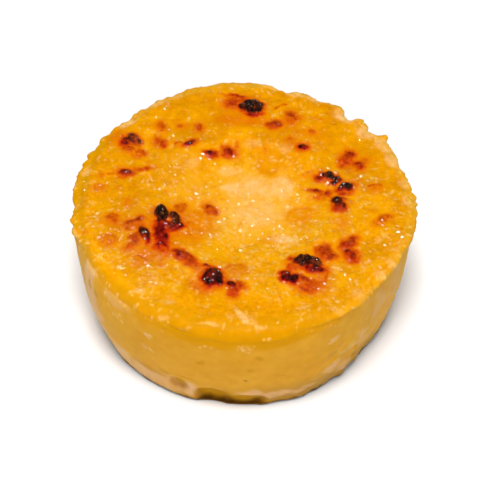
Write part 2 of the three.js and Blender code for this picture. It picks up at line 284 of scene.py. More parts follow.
RIGHT_BLISTERS = each(
    Blister,
    (21.6, 11.8, 2.0, 1.3, 59, 0.8, 0.44, 0.5, 0.6),
    (22.5, 13.3, 0.8, 1.0, 0, 0.7, 0.54, 0.6, 0.5),
    (21.0, 11.3, 0.8, 0.7, 0, 0.5, 0.5, 0.6, 0.5),
    (24.2, 10.3, 1.0, 0.7, -37, 0.6, 0.54, 0.6, 0.8),
    (25.4, 11.0, 1.6, 0.9, 73, 0.3, 0.26, 0.1, 0.5),
    (23.2, 8.9, 1.4, 0.9, 0, 0.2, 0.26, 0.2, 0.6),
    (17.8, 7.2, 1.5, 0.7, -26, 1.0, 1, 0.1, 0.5),
    (19.8, 6.0, 1.0, 0.6, -49, 1.0, 1, 0.2, 0.5),
    (18.9, 5.3, 0.8, 0.4, 0, 0.7, 0.9, 0.4, 0.6),
    (16.4, 6.7, 1.0, 0.5, -23, 0.5, 0.52, 0.7, 0.6),
    (17.9, 5.7, 1.1, 0.5, -28, 0.4, 0.4, 0.7, 0.7),
    (21.1, 3.9, 1.4, 0.7, 8, 1.2, 1.1, 0.3, 0.6),
    (20.7, 3.2, 1.5, 0.6, 7, 0.6, 0.74, 0.9, 0.8),
    (22.0, 3.4, 0.5, 0.4, 0, 0.7, 0.96, 0.2, 0.5),
    (20.8, 2.0, 1.3, 0.4, 14, 0.3, 0.44, 0.6, 0.7),
    (14.9, 3.5, 1.1, 0.4, -21, 0.7, 0.56, 0.5, 0.5),
    (15.9, 2.3, 1.3, 0.4, -60, 0.6, 0.4, 0.1, 0.5),
    (17.4, 2.4, 0.5, 0.6, 0, 0.7, 0.56, 0.6, 0.5),
    (15.3, 1.6, 1.0, 0.8, 0, 0.3, 0.26, 0.4, 0.7),
    (19.3, 0.2, 1.0, 0.8, -48, 1.2, 1.1, 0.2, 0.6),
    (20.5, 0.5, 0.6, 0.2, -21, 0.5, 0.6, 0.2, 0.4),
    (19.5, -1.4, 1.1, 1.0, 0, 0.6, 0.62, 0.7, 0.8),
    (20.2, -1.1, 0.5, 0.7, 0, 0.5, 0.74, 0.5, 0.6),
    (27.3, 3.4, 1.3, 0.9, 0, 0.5, 0.2, 0.1, 0.4),
    (28.2, -5.3, 1.5, 0.7, 29, 0.5, 0.36, 0, 0.4),
    (28.9, -4.4, 0.8, 0.4, 22, 0.4, 0.46, 0, 0.3),
    (20.2, -5.4, 1.1, 2.2, 0, 0.3, 0.1, 0.2, 0.45),
    (11.8, -3.3, 2.4, 2.2, 0, 0.6, 0.1, 0, 0.4),
    (13.9, 7.7, 1.3, 0.8, 0, 0.5, 0.16, 0, 0.3),
    (23.2, 5.9, 1.0, 0.7, 0, 0.1, 0.12, 0.1, 0.4),
    (5.3, 12.9, 2.1, 3.4, 0, 0.5, 0.05, 0.1, 0.1),
    (5.6, -9.3, 1.5, 1.0, 0, 0.3, 0.05, 0.1, 0.3),
    (26.1, -2.6, 0.6, 0.5, 0, 0.2, 0.12, 0, 0.3),
)
BLISTERS = (
    *BACK_BLISTERS,
    *LEFT_BLISTERS,
    *MIDDLE_LEFT_BLISTERS,
    *FRONT_BLISTERS,
    *RIGHT_BLISTERS,
)

# From the first of these on a burnt blister has small knobs, and above the second it is a
# smooth black ball
KNOBBY_SCORCH = 0.35
BALL_SCORCH = 1.1

# Brown rims round some of the blisters: place, half length, half width, the angles between
# which the rim runs, its thickness, how burnt and how red
Arc = namedtuple("Arc", "x y long wide start end thick scorch red")
BLISTER_ARCS = each(
    Arc,
    (9.0, 25.6, 2.2, 2.4, 55, 175, 0.5, 0.34, 0.2),
    (10.1, 23.2, 1.4, 2.2, -25, 75, 0.7, 0.5, 0.3),
    (27.3, 3.2, 1.5, 1.4, 5, 180, 0.5, 0.36, 0.1),
    (-26.7, -5.1, 1.6, 1.4, 0, 185, 0.5, 0.34, 0.3),
    (-26.6, -10.7, 1.4, 1.7, -20, 225, 0.5, 0.24, 0.1),
    (-20.7, -16.5, 1.8, 1.8, -10, 150, 0.5, 0.28, 0.2),
    (-12.7, -1.2, 1.3, 1.7, 10, 185, 0.55, 0.34, 0),
    (-8.3, -3.5, 2.4, 3.7, 15, 110, 0.6, 0.36, 0.2),
    (12.3, -18.5, 1.7, 1.7, 185, 300, 0.35, 0.5, 0),
    (13.5, -19.3, 2.9, 4.2, -60, 40, 0.8, 0.32, 0.3),
    (12.5, -21.7, 1.6, 1.7, 180, 360, 0.5, 0.42, 0.5),
    (-9.4, 20.8, 1.1, 1.5, 20, 175, 0.5, 0.34, 0.1),
    (-13.4, 15.6, 0.9, 0.9, 0, 200, 0.4, 0.4, 0.1),
    (-24.0, 14.2, 1.1, 1.2, 0, 200, 0.4, 0.4, 0.2),
    (-21.7, 13.2, 1.0, 1.2, -30, 140, 0.45, 0.42, 0.3),
    (13.9, 7.5, 1.5, 1.2, 10, 190, 0.4, 0.26, 0),
    (5.4, 12.6, 2.2, 3.9, 190, 350, 0.6, 0.14, 0),
    (11.8, -3.3, 2.5, 2.6, 20, 205, 0.5, 0.2, 0),
    (-1.3, -18.7, 2.4, 2.1, 10, 175, 0.7, 0.28, 0.1),
    (-29.6, 3.5, 1.2, 1.1, 0, 190, 0.4, 0.26, 0.1),
    (-15.2, -16.5, 1.0, 1.4, 100, 260, 0.5, 0.2, 0.3),
)

# Pale cream patches of the top: place, half length, half width, turn, strength
Patch = namedtuple("Patch", "x y long wide turn strength")
MIDDLE_PATCHES = each(
    Patch,
    (2.5, 4.6, 6.6, 3.8, 0, 0.85),
    (8.0, 5.0, 2.6, 3.2, -15, 1.4),
    (9.4, 5.0, 1.1, 1.9, 15, 2.0),
    (0.8, 5.2, 5.6, 1.5, 4, 1.5),
    (3.6, -1.5, 6.0, 4.6, 10, 0.65),
    (8.2, -9.4, 3.4, 1.2, -12, 1.3),
    (-2.5, 9.4, 3.0, 1.6, 0, 0.6),
    (8.6, 14.8, 1.8, 1.6, 0, 0.4),
    (2.0, 16.6, 2.4, 1.2, 0, 0.35),
    (-12.2, -3.5, 0.7, 1.1, 0, 0.9),
    (-10.8, 11.0, 1.8, 1.5, 30, 0.45),
)
FRONT_PATCHES = each(
    Patch,
    (-20.6, -24.0, 2.4, 0.6, 6, 0.65),
    (-17.4, -22.2, 1.3, 0.4, 45, 0.5),
    (-15.4, -29.6, 1.5, 0.4, -10, 0.7),
    (-15.1, -26.3, 1.5, 0.7, 0, 0.55),
    (-0.2, -30.0, 2.9, 0.9, -55, 0.95),
    (-2.6, -30.2, 1.1, 0.6, -40, 0.6),
    (2.1, -31.6, 1.9, 0.6, -70, 0.8),
    (3.4, -32.7, 0.9, 0.4, -20, 0.7),
    (-6.7, -31.8, 2.7, 0.3, -5, 0.5),
    (-11.4, -32.2, 1.4, 0.4, -10, 0.4),
    (23.7, -17.6, 0.8, 0.4, -20, 0.6),
    (22.9, -25.0, 2.3, 1.2, -35, 0.7),
    (29.5, -16.6, 1.6, 0.9, -40, 0.75),
    (27.0, -19.3, 1.3, 0.9, -40, 0.7),
    (18.0, -28.3, 2.0, 0.7, -15, 0.8),
    (12.0, -27.6, 0.8, 0.4, 0, 0.6),
    (30.5, -13.2, 1.1, 0.5, 0, 0.5),
)
RIM_PATCHES = each(
    Patch,
    (-24.6, 22.4, 2.6, 1.0, 40, 0.8),
    (-18.2, 28.4, 2.3, 1.0, 38, 0.7),
    (-14.8, 30.6, 2.4, 0.8, 28, 0.6),
    (-32.4, 8.6, 1.5, 0.9, 70, 0.5),
    (-7.0, 34.6, 2.4, 0.6, 8, 0.5),
    (5.0, 34.3, 1.8, 1.0, -10, 0.6),
    (8.5, 34.0, 1.8, 0.7, -15, 0.5),
    (15.8, 29.8, 2.8, 1.2, -28, 0.8),
    (11.2, 31.6, 2.6, 1.2, -20, 0.75),
    (6.9, 33.4, 1.6, 0.6, -12, 0.6),
    (22.0, 24.6, 3.8, 2.0, -42, 0.8),
    (26.3, 20.0, 2.8, 2.1, -45, 0.75),
    (29.6, 16.0, 3.0, 1.9, -62, 0.85),
    (31.6, 11.3, 2.6, 1.7, -65, 0.75),
    (33.4, 5.0, 1.7, 1.5, -50, 0.8),
    (33.6, 0.2, 1.9, 1.2, -75, 0.75),
    (30.6, -17.2, 2.6, 1.1, -60, 0.8),
    (-33.6, -8.0, 2.2, 0.5, -76, 0.5),
)
CREAM_PATCHES = (*MIDDLE_PATCHES, *FRONT_PATCHES, *RIM_PATCHES)

# Amber places that break into the pale middle
AMBER_PATCHES = each(
    Patch,
    (5.3, 12.0, 2.6, 4.2, 0, 1.0),
    (11.8, -3.3, 2.7, 2.5, 0, 0.9),
    (-8.2, -3.7, 2.6, 3.4, 0, 0.9),
    (14.0, 3.0, 2.2, 4.0, 0, 0.9),
)

# Marks on the side: azimuth, height, half width, half height, strength
Mark = namedtuple("Mark", "azimuth height wide high strength")
CREAM_MARKS = each(
    Mark,
    (-110, 5.0, 2.2, 3.4, 0.95),
    (-119, 4.6, 4.4, 4.0, 0.8),
    (-129, 4.0, 4.6, 4.2, 0.85),
    (-138, 4.4, 3.8, 4.4, 0.9),
    (-87, 6.4, 3.0, 1.2, 0.9),
    (-80, 4.4, 4.6, 1.9, 0.95),
    (-73, 4.2, 4.0, 1.2, 0.8),
    (-152, 24.0, 3.2, 4.6, 1.0),
    (-150, 17.0, 3.4, 6.0, 1.0),
    (-149, 9.0, 2.8, 4.4, 0.9),
    (-136, 25.4, 4.2, 2.0, 0.4),
    (-57.0, 8.4, 3.0, 1.6, 1.0),
    (-36, 19.5, 2.8, 5.0, 0.55),
    (-26, 20.0, 3.2, 6.0, 0.3),
    (-43, 12.0, 2.4, 4.0, 0.6),
    (-50, 6.0, 2.4, 2.6, 0.55),
    (-66, 4.6, 3.6, 1.2, 0.6),
    (-50, 12.5, 3.4, 1.0, 0.5),
    (-122, 21.0, 0.6, 0.9, 0.8),
    (-123, 16.0, 0.8, 0.6, 0.7),
    (-58, 19.5, 1.2, 0.8, 0.6),
    (70, 7.0, 6.0, 2.0, 0.7),
    (20, 5.0, 5.0, 2.4, 0.6),
    (150, 6.0, 6.0, 2.2, 0.6),
)
# Olive spots of the custard; the marks over the side's hollows are painted shade there
OLIVE_AND_HOLLOW_SHADE_MARKS = each(
    Mark,
    (-114, 6.0, 1.9, 2.2, 1.0),
    (-101, 3.2, 4.4, 3.6, 1.0),
    (-96, 5.0, 2.0, 2.8, 1.0),
    (-90, 2.4, 4.2, 2.8, 0.9),
    (-84, 0.8, 4.0, 1.4, 0.8),
    (-75, 1.0, 6.0, 1.2, 0.6),
    (-126, 7.6, 5.0, 0.7, 0.6),
    (-114, 9.6, 5.0, 0.6, 0.5),
    (-151, 22.8, 0.7, 1.4, 0.8),
    (-146, 22.0, 1.2, 1.0, 0.6),
    (-103.5, 17.8, 0.9, 0.8, 0.75),
    (-88, 15.8, 1.3, 0.6, 0.6),
    (-86, 20.2, 1.0, 0.8, 0.65),
    (-59, 14.4, 1.5, 0.9, 0.6),
    (-52, 11.2, 1.6, 2.0, 0.5),
    (-77, 12.4, 1.2, 0.6, 0.6),
    (-119, 9.0, 1.6, 0.6, 0.6),
    (64, 4.0, 5.0, 3.0, 0.9),
    (172, 8.0, 2.2, 1.8, 0.4),
    (25, 16.0, 1.2, 0.9, 0.6),
    (110, 14.0, 1.4, 0.8, 0.6),
)
SPECKS = each(
    Mark,
    (-116.7, 25.0, 0.28, 0.28, 1.0),
    (-89.2, 11.8, 0.4, 0.25, 0.8),
)

# Small groups of bubbles on the side, painted pale where they catch the light: painted highlights
FOAM_MARKS = each(
    Mark,
    (-88.5, 23.4, 1.6, 1.2, 1.0),
    (-99.5, 23.0, 1.6, 0.6, 0.9),
    (-91.2, 23.7, 0.9, 0.5, 0.9),
    (-82.5, 25.8, 1.8, 0.5, 0.8),
    (-58.0, 19.3, 1.6, 0.8, 0.9),
    (-123.0, 20.8, 1.2, 0.9, 0.8),
    (-122.0, 16.0, 1.0, 0.7, 0.7),
    (-135.0, 22.0, 2.0, 1.0, 0.4),
)

# Seeds of the random draws, and how many draws are made
BUBBLE_SEED = 11
BUBBLE_DRAWS = 7000
KNOB_SEED = 23
FLECK_SEED = 37
FLECK_DRAWS = 11000
SIDE_SEED = 41
BAND_DRAWS = 1200
NOISE_SEED = 5


def hump(distance):
    """A smooth hump, 1 in the middle and 0 from a distance of 1 on, to either side."""
    return np.maximum(0.0, 1.0 - distance * distance) ** 2


def smooth_step(start, end, value):
    """0 up to the start and 1 from the end on, with a smooth change between them. The start
    may also be the larger number."""
    share = np.clip((value - start) / (end - start), 0.0, 1.0)
    return share * share * (3.0 - 2.0 * share)


def turn_between(first, second):
    """The shortest way round from one azimuth to another, in degrees."""
    return (first - second + 180.0) % 360.0 - 180.0


def around(degrees, azimuth, spread):
    """A hump over the azimuths: 1 at one of them and 0 from its spread on."""
    return hump(turn_between(degrees, azimuth) / spread)


def sector(degrees, azimuth, whole, reach):
    """1 up to one angle from an azimuth and 0 from a wider one on."""
    return smooth_step(reach, whole, np.abs(turn_between(degrees, azimuth)))


def azimuth_of(x, y):
    return np.degrees(np.arctan2(y, x))


def polar(radius, degrees):
    """The x and y at a radius, towards each azimuth."""
    angle = np.radians(degrees)
    return radius * np.cos(angle), radius * np.sin(angle)


def flat_places(x, y):
    """The places at a height of 0, where the noise of the top is read."""
    return np.column_stack([x, y, np.zeros_like(x)])


def noise(points, size, seed):
    """Smooth noise from -1 to 1 at each point, with bumps about one size apart."""
    lattice = 32
    table = np.random.default_rng(seed).uniform(-1.0, 1.0, (lattice, lattice, lattice))
    scaled = np.asarray(points) / size + lattice
    cell = np.floor(scaled).astype(int)
    part = scaled - cell
    ease = part * part * (3.0 - 2.0 * part)
    total = np.zeros(len(scaled))
    for corner in itertools.product((0, 1), repeat=3):
        weight = np.prod(np.where(corner, ease, 1.0 - ease), axis=1)
        index = (cell + corner) % lattice
        total += weight * table[index[:, 0], index[:, 1], index[:, 2]]
    return total


def layered_noise(points, size, seed, layers=3):
    """Noise with finer and fainter noise on it."""
    total = np.zeros(len(points))
    for layer in range(layers):
        total += noise(points, size / 2**layer, seed + layer) / 2**layer
    return total / 1.5


def wander(points, amount, size, seed):
    """The points, each moved by noise, so that what is read there has no straight lines."""
    shifts = [noise(points, size, seed + axis) for axis in range(3)]
    return points + amount * np.column_stack(shifts)


def swell_at(swells, degrees):
    """How far out the swells push each azimuth."""
    return sum(s.out * around(degrees, s.azimuth, s.spread) for s in swells)


def ripple_at(degrees):
    return sum(r.out * np.sin(np.radians(r.waves * degrees + r.phase)) for r in LIP_RIPPLES)


def lip_wander(degrees):
    return swell_at(LIP_SWELLS, degrees) + ripple_at(degrees)


def lip_height(degrees):
    return LIP_HEIGHT + BACK_RISE * around(degrees, *RAISED_STRETCH)


def unevenness(x, y):
    """Long low waves of the skin."""
    slow = np.sin(0.29 * x + 1.1) * np.cos(0.24 * y - 0.5)
    quick = np.sin(0.71 * x - 0.4 * y) + np.cos(0.62 * y + 0.35 * x + 0.8)
    return TOP_UNEVEN * (slow + 0.5 * quick)


def outline_centre():
    """The middle of the cake's outline, which stands over the frame's origin."""
    degrees = np.arange(0.0, 360.0)
    x, y = polar(LIP_RADIUS + lip_wander(degrees), degrees)
    return (x.min() + x.max()) / 2.0, (y.min() + y.max()) / 2.0


CENTRE_X, CENTRE_Y = outline_centre()


# The lip on its way round


def wrap_share(degrees):
    """How far the skin reaches down over the edge: 1 in front, 0 elsewhere."""
    return around(degrees, *WRAPPED_STRETCH)


def soft_lip(degrees):
    """1 where the lip is smoothly rounded, from the left round to the front, 0 elsewhere."""
    return sector(degrees, *SOFT_STRETCH)


def amber_and_shaded_lip(degrees):
    """1 where the lip is dark amber, with painted shade where it rounds over, from the left
    round to the front, 0 where it is pale.
    """
    return sector(degrees, *AMBER_AND_SHADE_STRETCH)


def run_out_share(degrees):
    """1 on the left front, where the skin thins out towards the lip, 0 elsewhere."""
    return np.maximum(0.0, soft_lip(degrees) - 1.5 * wrap_share(degrees))


def lip_softness(degrees, from_lip):
    """How far the corner of the lip is rounded off, at a distance from it along the surface."""
    right_front = 0.35 * around(degrees, -38, 30)
    return (0.06 + np.maximum(right_front, 0.9 * soft_lip(degrees))) * math.exp(-from_lip / 1.9)


def rim_nubs(degrees):
    """Small blunt teeth of the lip, but for its soft part and few at the right front."""
    places = flat_places(*polar(LIP_RADIUS, degrees))
    broad = np.abs(noise(places, 2.3, NOISE_SEED)) - 0.3
    small = np.abs(noise(places, 1.0, NOISE_SEED + 9)) - 0.3
    left_out = (1.0 - 0.9 * soft_lip(degrees)) * (1.0 - 0.8 * around(degrees, -35, 50))
    return (0.65 * broad + 0.4 * small) * left_out


def rim_crumbs(flat, degrees, from_lip):
    """Low crumbs in the last two millimetres before the lip, where it isn't rounded."""
    at_rim = smooth_step(2.4, 0.8, from_lip) * (1.0 - soft_lip(degrees))
    return 0.16 * noise(flat, 0.9, NOISE_SEED + 15) * at_rim


# Relief and colour, drawn on flat sheets over the top and round the side


class Sheet:
    """A sheet of numbers, one for every CELL millimetres both ways."""

    def __init__(self, half_across, low, high):
        self.left = -half_across
        self.low = low
        self.columns = int(round(2 * half_across / CELL)) + 1
        self.rows = int(round((high - low) / CELL)) + 1
        self.values = np.zeros((self.rows, self.columns))

    def window(self, x, y, reach):
        """The part of the sheet within reach of a place, and each cell's offset from it."""
        first_column = max(0, int((x - reach - self.left) / CELL))
        last_column = min(self.columns, int((x + reach - self.left) / CELL) + 2)
        first_row = max(0, int((y - reach - self.low) / CELL))
        last_row = min(self.rows, int((y + reach - self.low) / CELL) + 2)
        part = (slice(first_row, last_row), slice(first_column, last_column))
        dx = np.arange(first_column, last_column) * CELL + self.left - x
        dy = np.arange(first_row, last_row) * CELL + self.low - y
        return part, *np.meshgrid(dx, dy)

    def raise_to(self, part, values):
        self.values[part] = np.maximum(self.values[part], values)

    def raise_dome(self, x, y, radius, high, power=1):
        """Raises the sheet to a round dome, steeper with a higher power."""
        part, dx, dy = self.window(x, y, radius)
        self.raise_to(part, high * dome(np.hypot(dx, dy) / radius) ** power)

    def fill_with_noise(self, size, seed):
        x = np.arange(self.columns) * CELL + self.left
        y = np.arange(self.rows) * CELL + self.low
        across, along = np.meshgrid(x, y)
        places = flat_places(across.ravel(), along.ravel())
        self.values = layered_noise(places, size, seed, 2).reshape(self.values.shape)
        return self

    def at(self, x, y):
        """The sheet's value at each place, between its cells too."""
        u = np.clip((x - self.left) / CELL, 0, self.columns - 1.001)
        v = np.clip((y - self.low) / CELL, 0, self.rows - 1.001)
        i = np.floor(u).astype(int)
        j = np.floor(v).astype(int)
        du = u - i
        dv = v - j
        near = self.values[j, i] * (1 - du) + self.values[j, i + 1] * du
        far = self.values[j + 1, i] * (1 - du) + self.values[j + 1, i + 1] * du
        return near * (1 - dv) + far * dv


def top_sheet():
    return Sheet(HALF_SHEET, -HALF_SHEET, HALF_SHEET)


def side_sheet():
    """A sheet over the unrolled side: across it runs the way round at the lip's radius."""
    return Sheet(math.pi * LIP_RADIUS, 0.0, LIP_HEIGHT + 1.0)


def distance_in(long, wide, turn, dx, dy):
    """How far each offset lies from a turned oval's middle, where 1 is its edge."""
    angle = math.radians(turn)
    along = (dx * math.cos(angle) + dy * math.sin(angle)) / long
    across = (dy * math.cos(angle) - dx * math.sin(angle)) / wide
    return np.hypot(along, across)


def dome(distance):
    """A round dome, 1 high in the middle, down to 0 at a distance of 1."""
    return np.maximum(0.0, 1.0 - distance**2)


class Top:
    """The relief and the colour layers of the top skin."""

    def __init__(self):
        self.domes = top_sheet()
        self.bubbles = top_sheet()
        self.burn = top_sheet()
        self.redness = top_sheet()
        self.weight = top_sheet()
        self.stain = top_sheet()
        self.cream = top_sheet()
        self.amber = top_sheet()
        self.fleck = top_sheet()
        self.shift_x = top_sheet().fill_with_noise(1.9, NOISE_SEED + 50)
        self.shift_y = top_sheet().fill_with_noise(1.9, NOISE_SEED + 60)
        self.lumps = top_sheet().fill_with_noise(0.9, NOISE_SEED + 70)
        for blister in BLISTERS:
            self.add_blister(blister)
        for arc in BLISTER_ARCS:
            self.add_arc(arc)
        for patch in CREAM_PATCHES:
            self.add_patch(self.cream, patch, 0.4)
        for patch in AMBER_PATCHES:
            self.add_patch(self.amber, patch, 0.8)
        self.add_knobs()
        self.add_skin_bubbles()
        self.add_flecks()

    def bent_window(self, sheet, x, y, reach, bend):
        """A window whose offsets wander, so that what is drawn in it comes out uneven."""
        part, dx, dy = sheet.window(x, y, reach)
        dx = dx + bend * self.shift_x.values[part]
        dy = dy + bend * self.shift_y.values[part]
        return part, dx, dy

    def add_burn(self, part, burn, red):
        """Burns an area, and sums up how red it is there, weighed by how burnt."""
        self.burn.raise_to(part, burn)
        self.redness.values[part] += red * burn**2
        self.weight.values[part] += burn**2

    def red(self, x, y):
        """How red the burns are at each place."""
        return self.redness.at(x, y) / np.maximum(self.weight.at(x, y), 1e-4)

    def add_blister(self, blister):
        """A dome, darker and less red towards its far side, in a brown halo and an orange stain.
        """
        long, wide, turn, scorch = blister.long, blister.wide, blister.turn, blister.scorch
        bend = 0.5 if scorch <= BALL_SCORCH else 0.1
        reach = 2.8 * max(long, wide, 1.0)
        part, dx, dy = self.bent_window(self.domes, blister.x, blister.y, reach, bend)
        distance = distance_in(long, wide, turn, dx, dy)
        lumps = self.lumps.values[part]
        high = blister.high * (0.3 + 0.6 * float(smooth_step(0.4, 1.0, scorch)))
        lumpy = 1.0 + bend * scorch * lumps
        self.domes.raise_to(part, high * dome(distance) ** (1.8 - scorch) * lumpy)
        towards_back = np.clip(dy / max(wide, 0.8), -1.0, 1.0)
        fade = smooth_step(1.55 - 0.25 * scorch, 0.45 + 0.4 * scorch, distance)
        burn = scorch * fade * (1.0 + 0.3 * lumps + 0.1 * towards_back)
        halo = smooth_step(1.7, -0.2, (distance - 1.0) * math.sqrt(long * wide))
        halo = halo * 0.72 * min(scorch, 0.55) * float(smooth_step(0.08, 0.42, scorch))
        red = np.clip(blister.red - 0.15 * towards_back, 0.0, 1.0)
        self.add_burn(part, np.maximum(burn, halo), red)
        near = blister.stain * smooth_step(2.6, 0.5, distance)
        self.stain.values[part] += near * (1.0 - self.stain.values[part])

    def add_arc(self, arc):
        """A brown line along part of an oval."""
        reach = 1.6 * max(arc.long, arc.wide)
        part, dx, dy = self.bent_window(self.burn, arc.x, arc.y, reach, 0.5)
        distance = distance_in(arc.long, arc.wide, 0.0, dx, dy)
        off_line = (distance - 1.0) * 0.5 * (arc.long + arc.wide) / arc.thick
        half = 0.5 * (arc.end - arc.start)
        ends = sector(azimuth_of(dx, dy), 0.5 * (arc.start + arc.end), half - 35.0, half)
        self.add_burn(part, arc.scorch * np.exp(-(off_line**2)) * ends, arc.red)

    def add_knobs(self):
        """Small knobs on each burnt blister, but not on the round black one."""
        draw = np.random.default_rng(KNOB_SEED)
        for blister in BLISTERS:
            if not KNOBBY_SCORCH <= blister.scorch <= BALL_SCORCH:
                continue
            for _ in range(int(1.6 * blister.long * blister.wide) + 2):
                angle = draw.uniform(0.0, 2.0 * math.pi)
                share = 0.85 * math.sqrt(draw.uniform(0.0, 1.0))
                x = blister.x + blister.long * share * math.cos(angle)
                y = blister.y + blister.wide * share * math.sin(angle)
                radius = draw.uniform(0.35, 0.7)
                high = radius * draw.uniform(0.35, 0.7) * (1.0 - 0.6 * blister.red)
                self.bubbles.raise_dome(x, y, radius, high)

    def add_skin_bubbles(self):
        """Fine bubbles all over, closest together in the middle and on the left front."""
        draw = np.random.default_rng(BUBBLE_SEED)
        for _ in range(BUBBLE_DRAWS):
            x, y = draw.uniform(-LIP_RADIUS, LIP_RADIUS, 2)
            radius = 0.35 + 0.75 * draw.uniform() ** 2
            steep = 0.04 + 0.12 * draw.uniform()
            if math.hypot(x, y) > LIP_RADIUS - 0.6 or draw.uniform() > float(bubble_share(x, y)):
                continue
            self.bubbles.raise_dome(x, y, radius, radius * steep)

    def add_flecks(self):
        """Pale flecks and painted soft glints, single and in small streaks, thickest in front."""
        draw = np.random.default_rng(FLECK_SEED)
        clusters = top_sheet().fill_with_noise(4.5, NOISE_SEED + 80)
        for _ in range(FLECK_DRAWS):
            x, y = draw.uniform(-LIP_RADIUS, LIP_RADIUS, 2)
            long = 0.18 + 0.8 * draw.uniform() ** 3
            wide = draw.uniform(0.14, 0.36)
            turn = draw.uniform(0.0, 180.0)
            strength = 0.2 + 0.75 * draw.uniform() ** 2
            keep = draw.uniform()
            crowd = 0.5 + 0.8 * float(clusters.at(x, y))
            if math.hypot(x, y) > LIP_RADIUS or keep > crowd * float(bubble_share(x, y)):
                continue
            part, dx, dy = self.bent_window(self.fleck, x, y, 1.5 * max(long, wide), 0.3)
            distance = distance_in(long, wide, turn, dx, dy)
            self.fleck.raise_to(part, strength * smooth_step(1.3, 0.3, distance))

    def add_patch(self, sheet, patch, edge):
        """A patch that fades from the edge, a share of the way out, to just past its oval."""
        reach = 1.5 * max(patch.long, patch.wide)
        part, dx, dy = self.bent_window(sheet, patch.x, patch.y, reach, 0.6)
        distance = distance_in(patch.long, patch.wide, patch.turn, dx, dy)
        sheet.raise_to(part, patch.strength * smooth_step(1.2, edge, distance))


def bubble_share(x, y):
    """How many of the drawn bubbles stay: most in the front half and in the middle, fewer at
    the back, on the right and far in front, none on the smooth strip inside the front lip."""
    towards_front = smooth_step(24.0, -14.0 - 0.2 * x, y)
    in_middle = hump(np.hypot(x - 1.0, y + 5.0) / 18.0)
    share = np.minimum(1.0, 0.2 + 0.7 * towards_front + 0.7 * in_middle)
    on_right = 1.0 - 0.2 * smooth_step(7.0, 24.0, x)
    at_front = 1.0 - 0.6 * smooth_step(-20.0, -29.0, y)
    on_strip = wrap_share(azimuth_of(x, y)) * smooth_step(2.8, 1.0, LIP_RADIUS - np.hypot(x, y))
    return share * on_right * at_front * (1.0 - on_strip)


def dull_rim(x, y):
    """1 where the glaze has run off: along the rim, and wider where the lip is soft."""
    from_lip = LIP_RADIUS - np.hypot(x, y)
    wider = soft_lip(azimuth_of(x, y)) * smooth_step(4.8, 3.0, from_lip)
    return np.maximum(wider, smooth_step(2.0, 1.0, from_lip))


class Side:
    """The bubbles of the side, and their pale flecks, which are partly painted highlights."""

    def __init__(self):
        self.bubbles = side_sheet()
        self.fleck = side_sheet()
        draw = np.random.default_rng(SIDE_SEED)
        for mark in FOAM_MARKS:
            self.add_foam(mark, draw)
        self.add_band(draw)

    def add_bubble(self, across, height, radius, high, pale):
        """A bubble, painted paler than the side around it: pale foam and a painted highlight."""
        self.bubbles.raise_dome(across, height, radius, high)
        self.fleck.raise_dome(across, height, radius, pale, power=2)

    def add_foam(self, mark, draw):
        """A group of bubbles within a mark."""
        middle = math.radians(mark.azimuth) * LIP_RADIUS
        for _ in range(int(14 * mark.wide * mark.high * mark.strength) + 4):
            across = middle + mark.wide * draw.normal(0.0, 0.5)
            height = min(LIP_HEIGHT - 0.3, mark.height + mark.high * draw.normal(0.0, 0.5))
            radius = draw.uniform(0.14, 0.32)
            high = radius * draw.uniform(0.2, 0.6)
            self.add_bubble(across, height, radius, high, draw.uniform(0.3, 1.0))

    def add_band(self, draw):
        """Bubbles just under the lip, all the way round but for the smooth front."""
        for _ in range(BAND_DRAWS):
            azimuth = draw.uniform(-180.0, 180.0)
            below = draw.exponential(0.8)
            radius = 0.22 + 0.4 * draw.uniform() ** 2
            steep = draw.uniform(0.05, 0.35)
            pale = draw.uniform(0.0, 0.35)
            if below > 3.0 or draw.uniform() < float(wrap_share(azimuth)):
                continue
            across = math.radians(azimuth) * LIP_RADIUS
            self.add_bubble(across, LIP_HEIGHT - below, radius, radius * steep, pale)


# The surface: each ring of it is a number of points and a function from their azimuths in
# degrees to x, y and z. The rings run from the middle of the top to that of the underside.


def top_ring(top, share):
    """The ring at a share of the way out from the middle of the top to the lip."""
    even = LIP_RADIUS * share

    def points(degrees):
        softness = lip_softness(degrees, LIP_RADIUS - even)
        uneven = lip_wander(degrees) * share**WANDER_POWER + rim_nubs(degrees) * share**NUBS_POWER
        x, y = polar(even + uneven - softness, degrees)
        z = top_height(degrees, even) + top_relief(top, x, y, degrees, even) - softness
        return x, y, z

    return points


def on_shoulder(even):
    """How far out on the rounded shoulder a radius lies: 0 before it, 1 at the lip."""
    return max(0.0, (even - LIP_RADIUS + SHOULDER_WIDTH) / SHOULDER_WIDTH)


def top_height(degrees, even):
    """The height of the top without its relief: the plateau, its dish and its shoulder."""
    lip = lip_height(degrees)
    plateau = PLATEAU_HEIGHT + lip - LIP_HEIGHT
    dish = DISH_DEPTH * smooth_step(DISH_OUTER_RADIUS, DISH_FLOOR_RADIUS, even)
    drop = (plateau - lip) * (1.0 - math.sqrt(max(0.0, 1.0 - on_shoulder(even) ** 2)))
    return plateau - dish - drop


def top_relief(top, x, y, degrees, even):
    """Blisters and waves, which end at the lip, and fine bubbles, wrinkles and crumbs."""
    flat = flat_places(x, y)
    broad = (top.domes.at(x, y) + unevenness(x, y)) * (1.0 - on_shoulder(even) ** 4)
    fine = (top.bubbles.at(x, y) + wrinkles(flat)) * (1.0 - 0.7 * on_shoulder(even) ** 20)
    return broad + fine + rim_crumbs(flat, degrees, LIP_RADIUS - even)


def wrinkles(flat):
    """Thin crooked ridges and low lumps of the skin, in front more than at the back."""
    bent = wander(flat, 0.5, 2.5, NOISE_SEED + 3)
    ridge = (1.0 - np.abs(noise(bent, 1.7, NOISE_SEED + 1))) ** 5
    small = (1.0 - np.abs(noise(bent, 0.8, NOISE_SEED + 2))) ** 4
    lumps = noise(flat, 2.2, NOISE_SEED + 7)
    in_front = 0.25 + 0.75 * smooth_step(18.0, -12.0, flat[:, 1])
    return in_front * (0.045 * ridge + 0.02 * small + 0.06 * lumps)


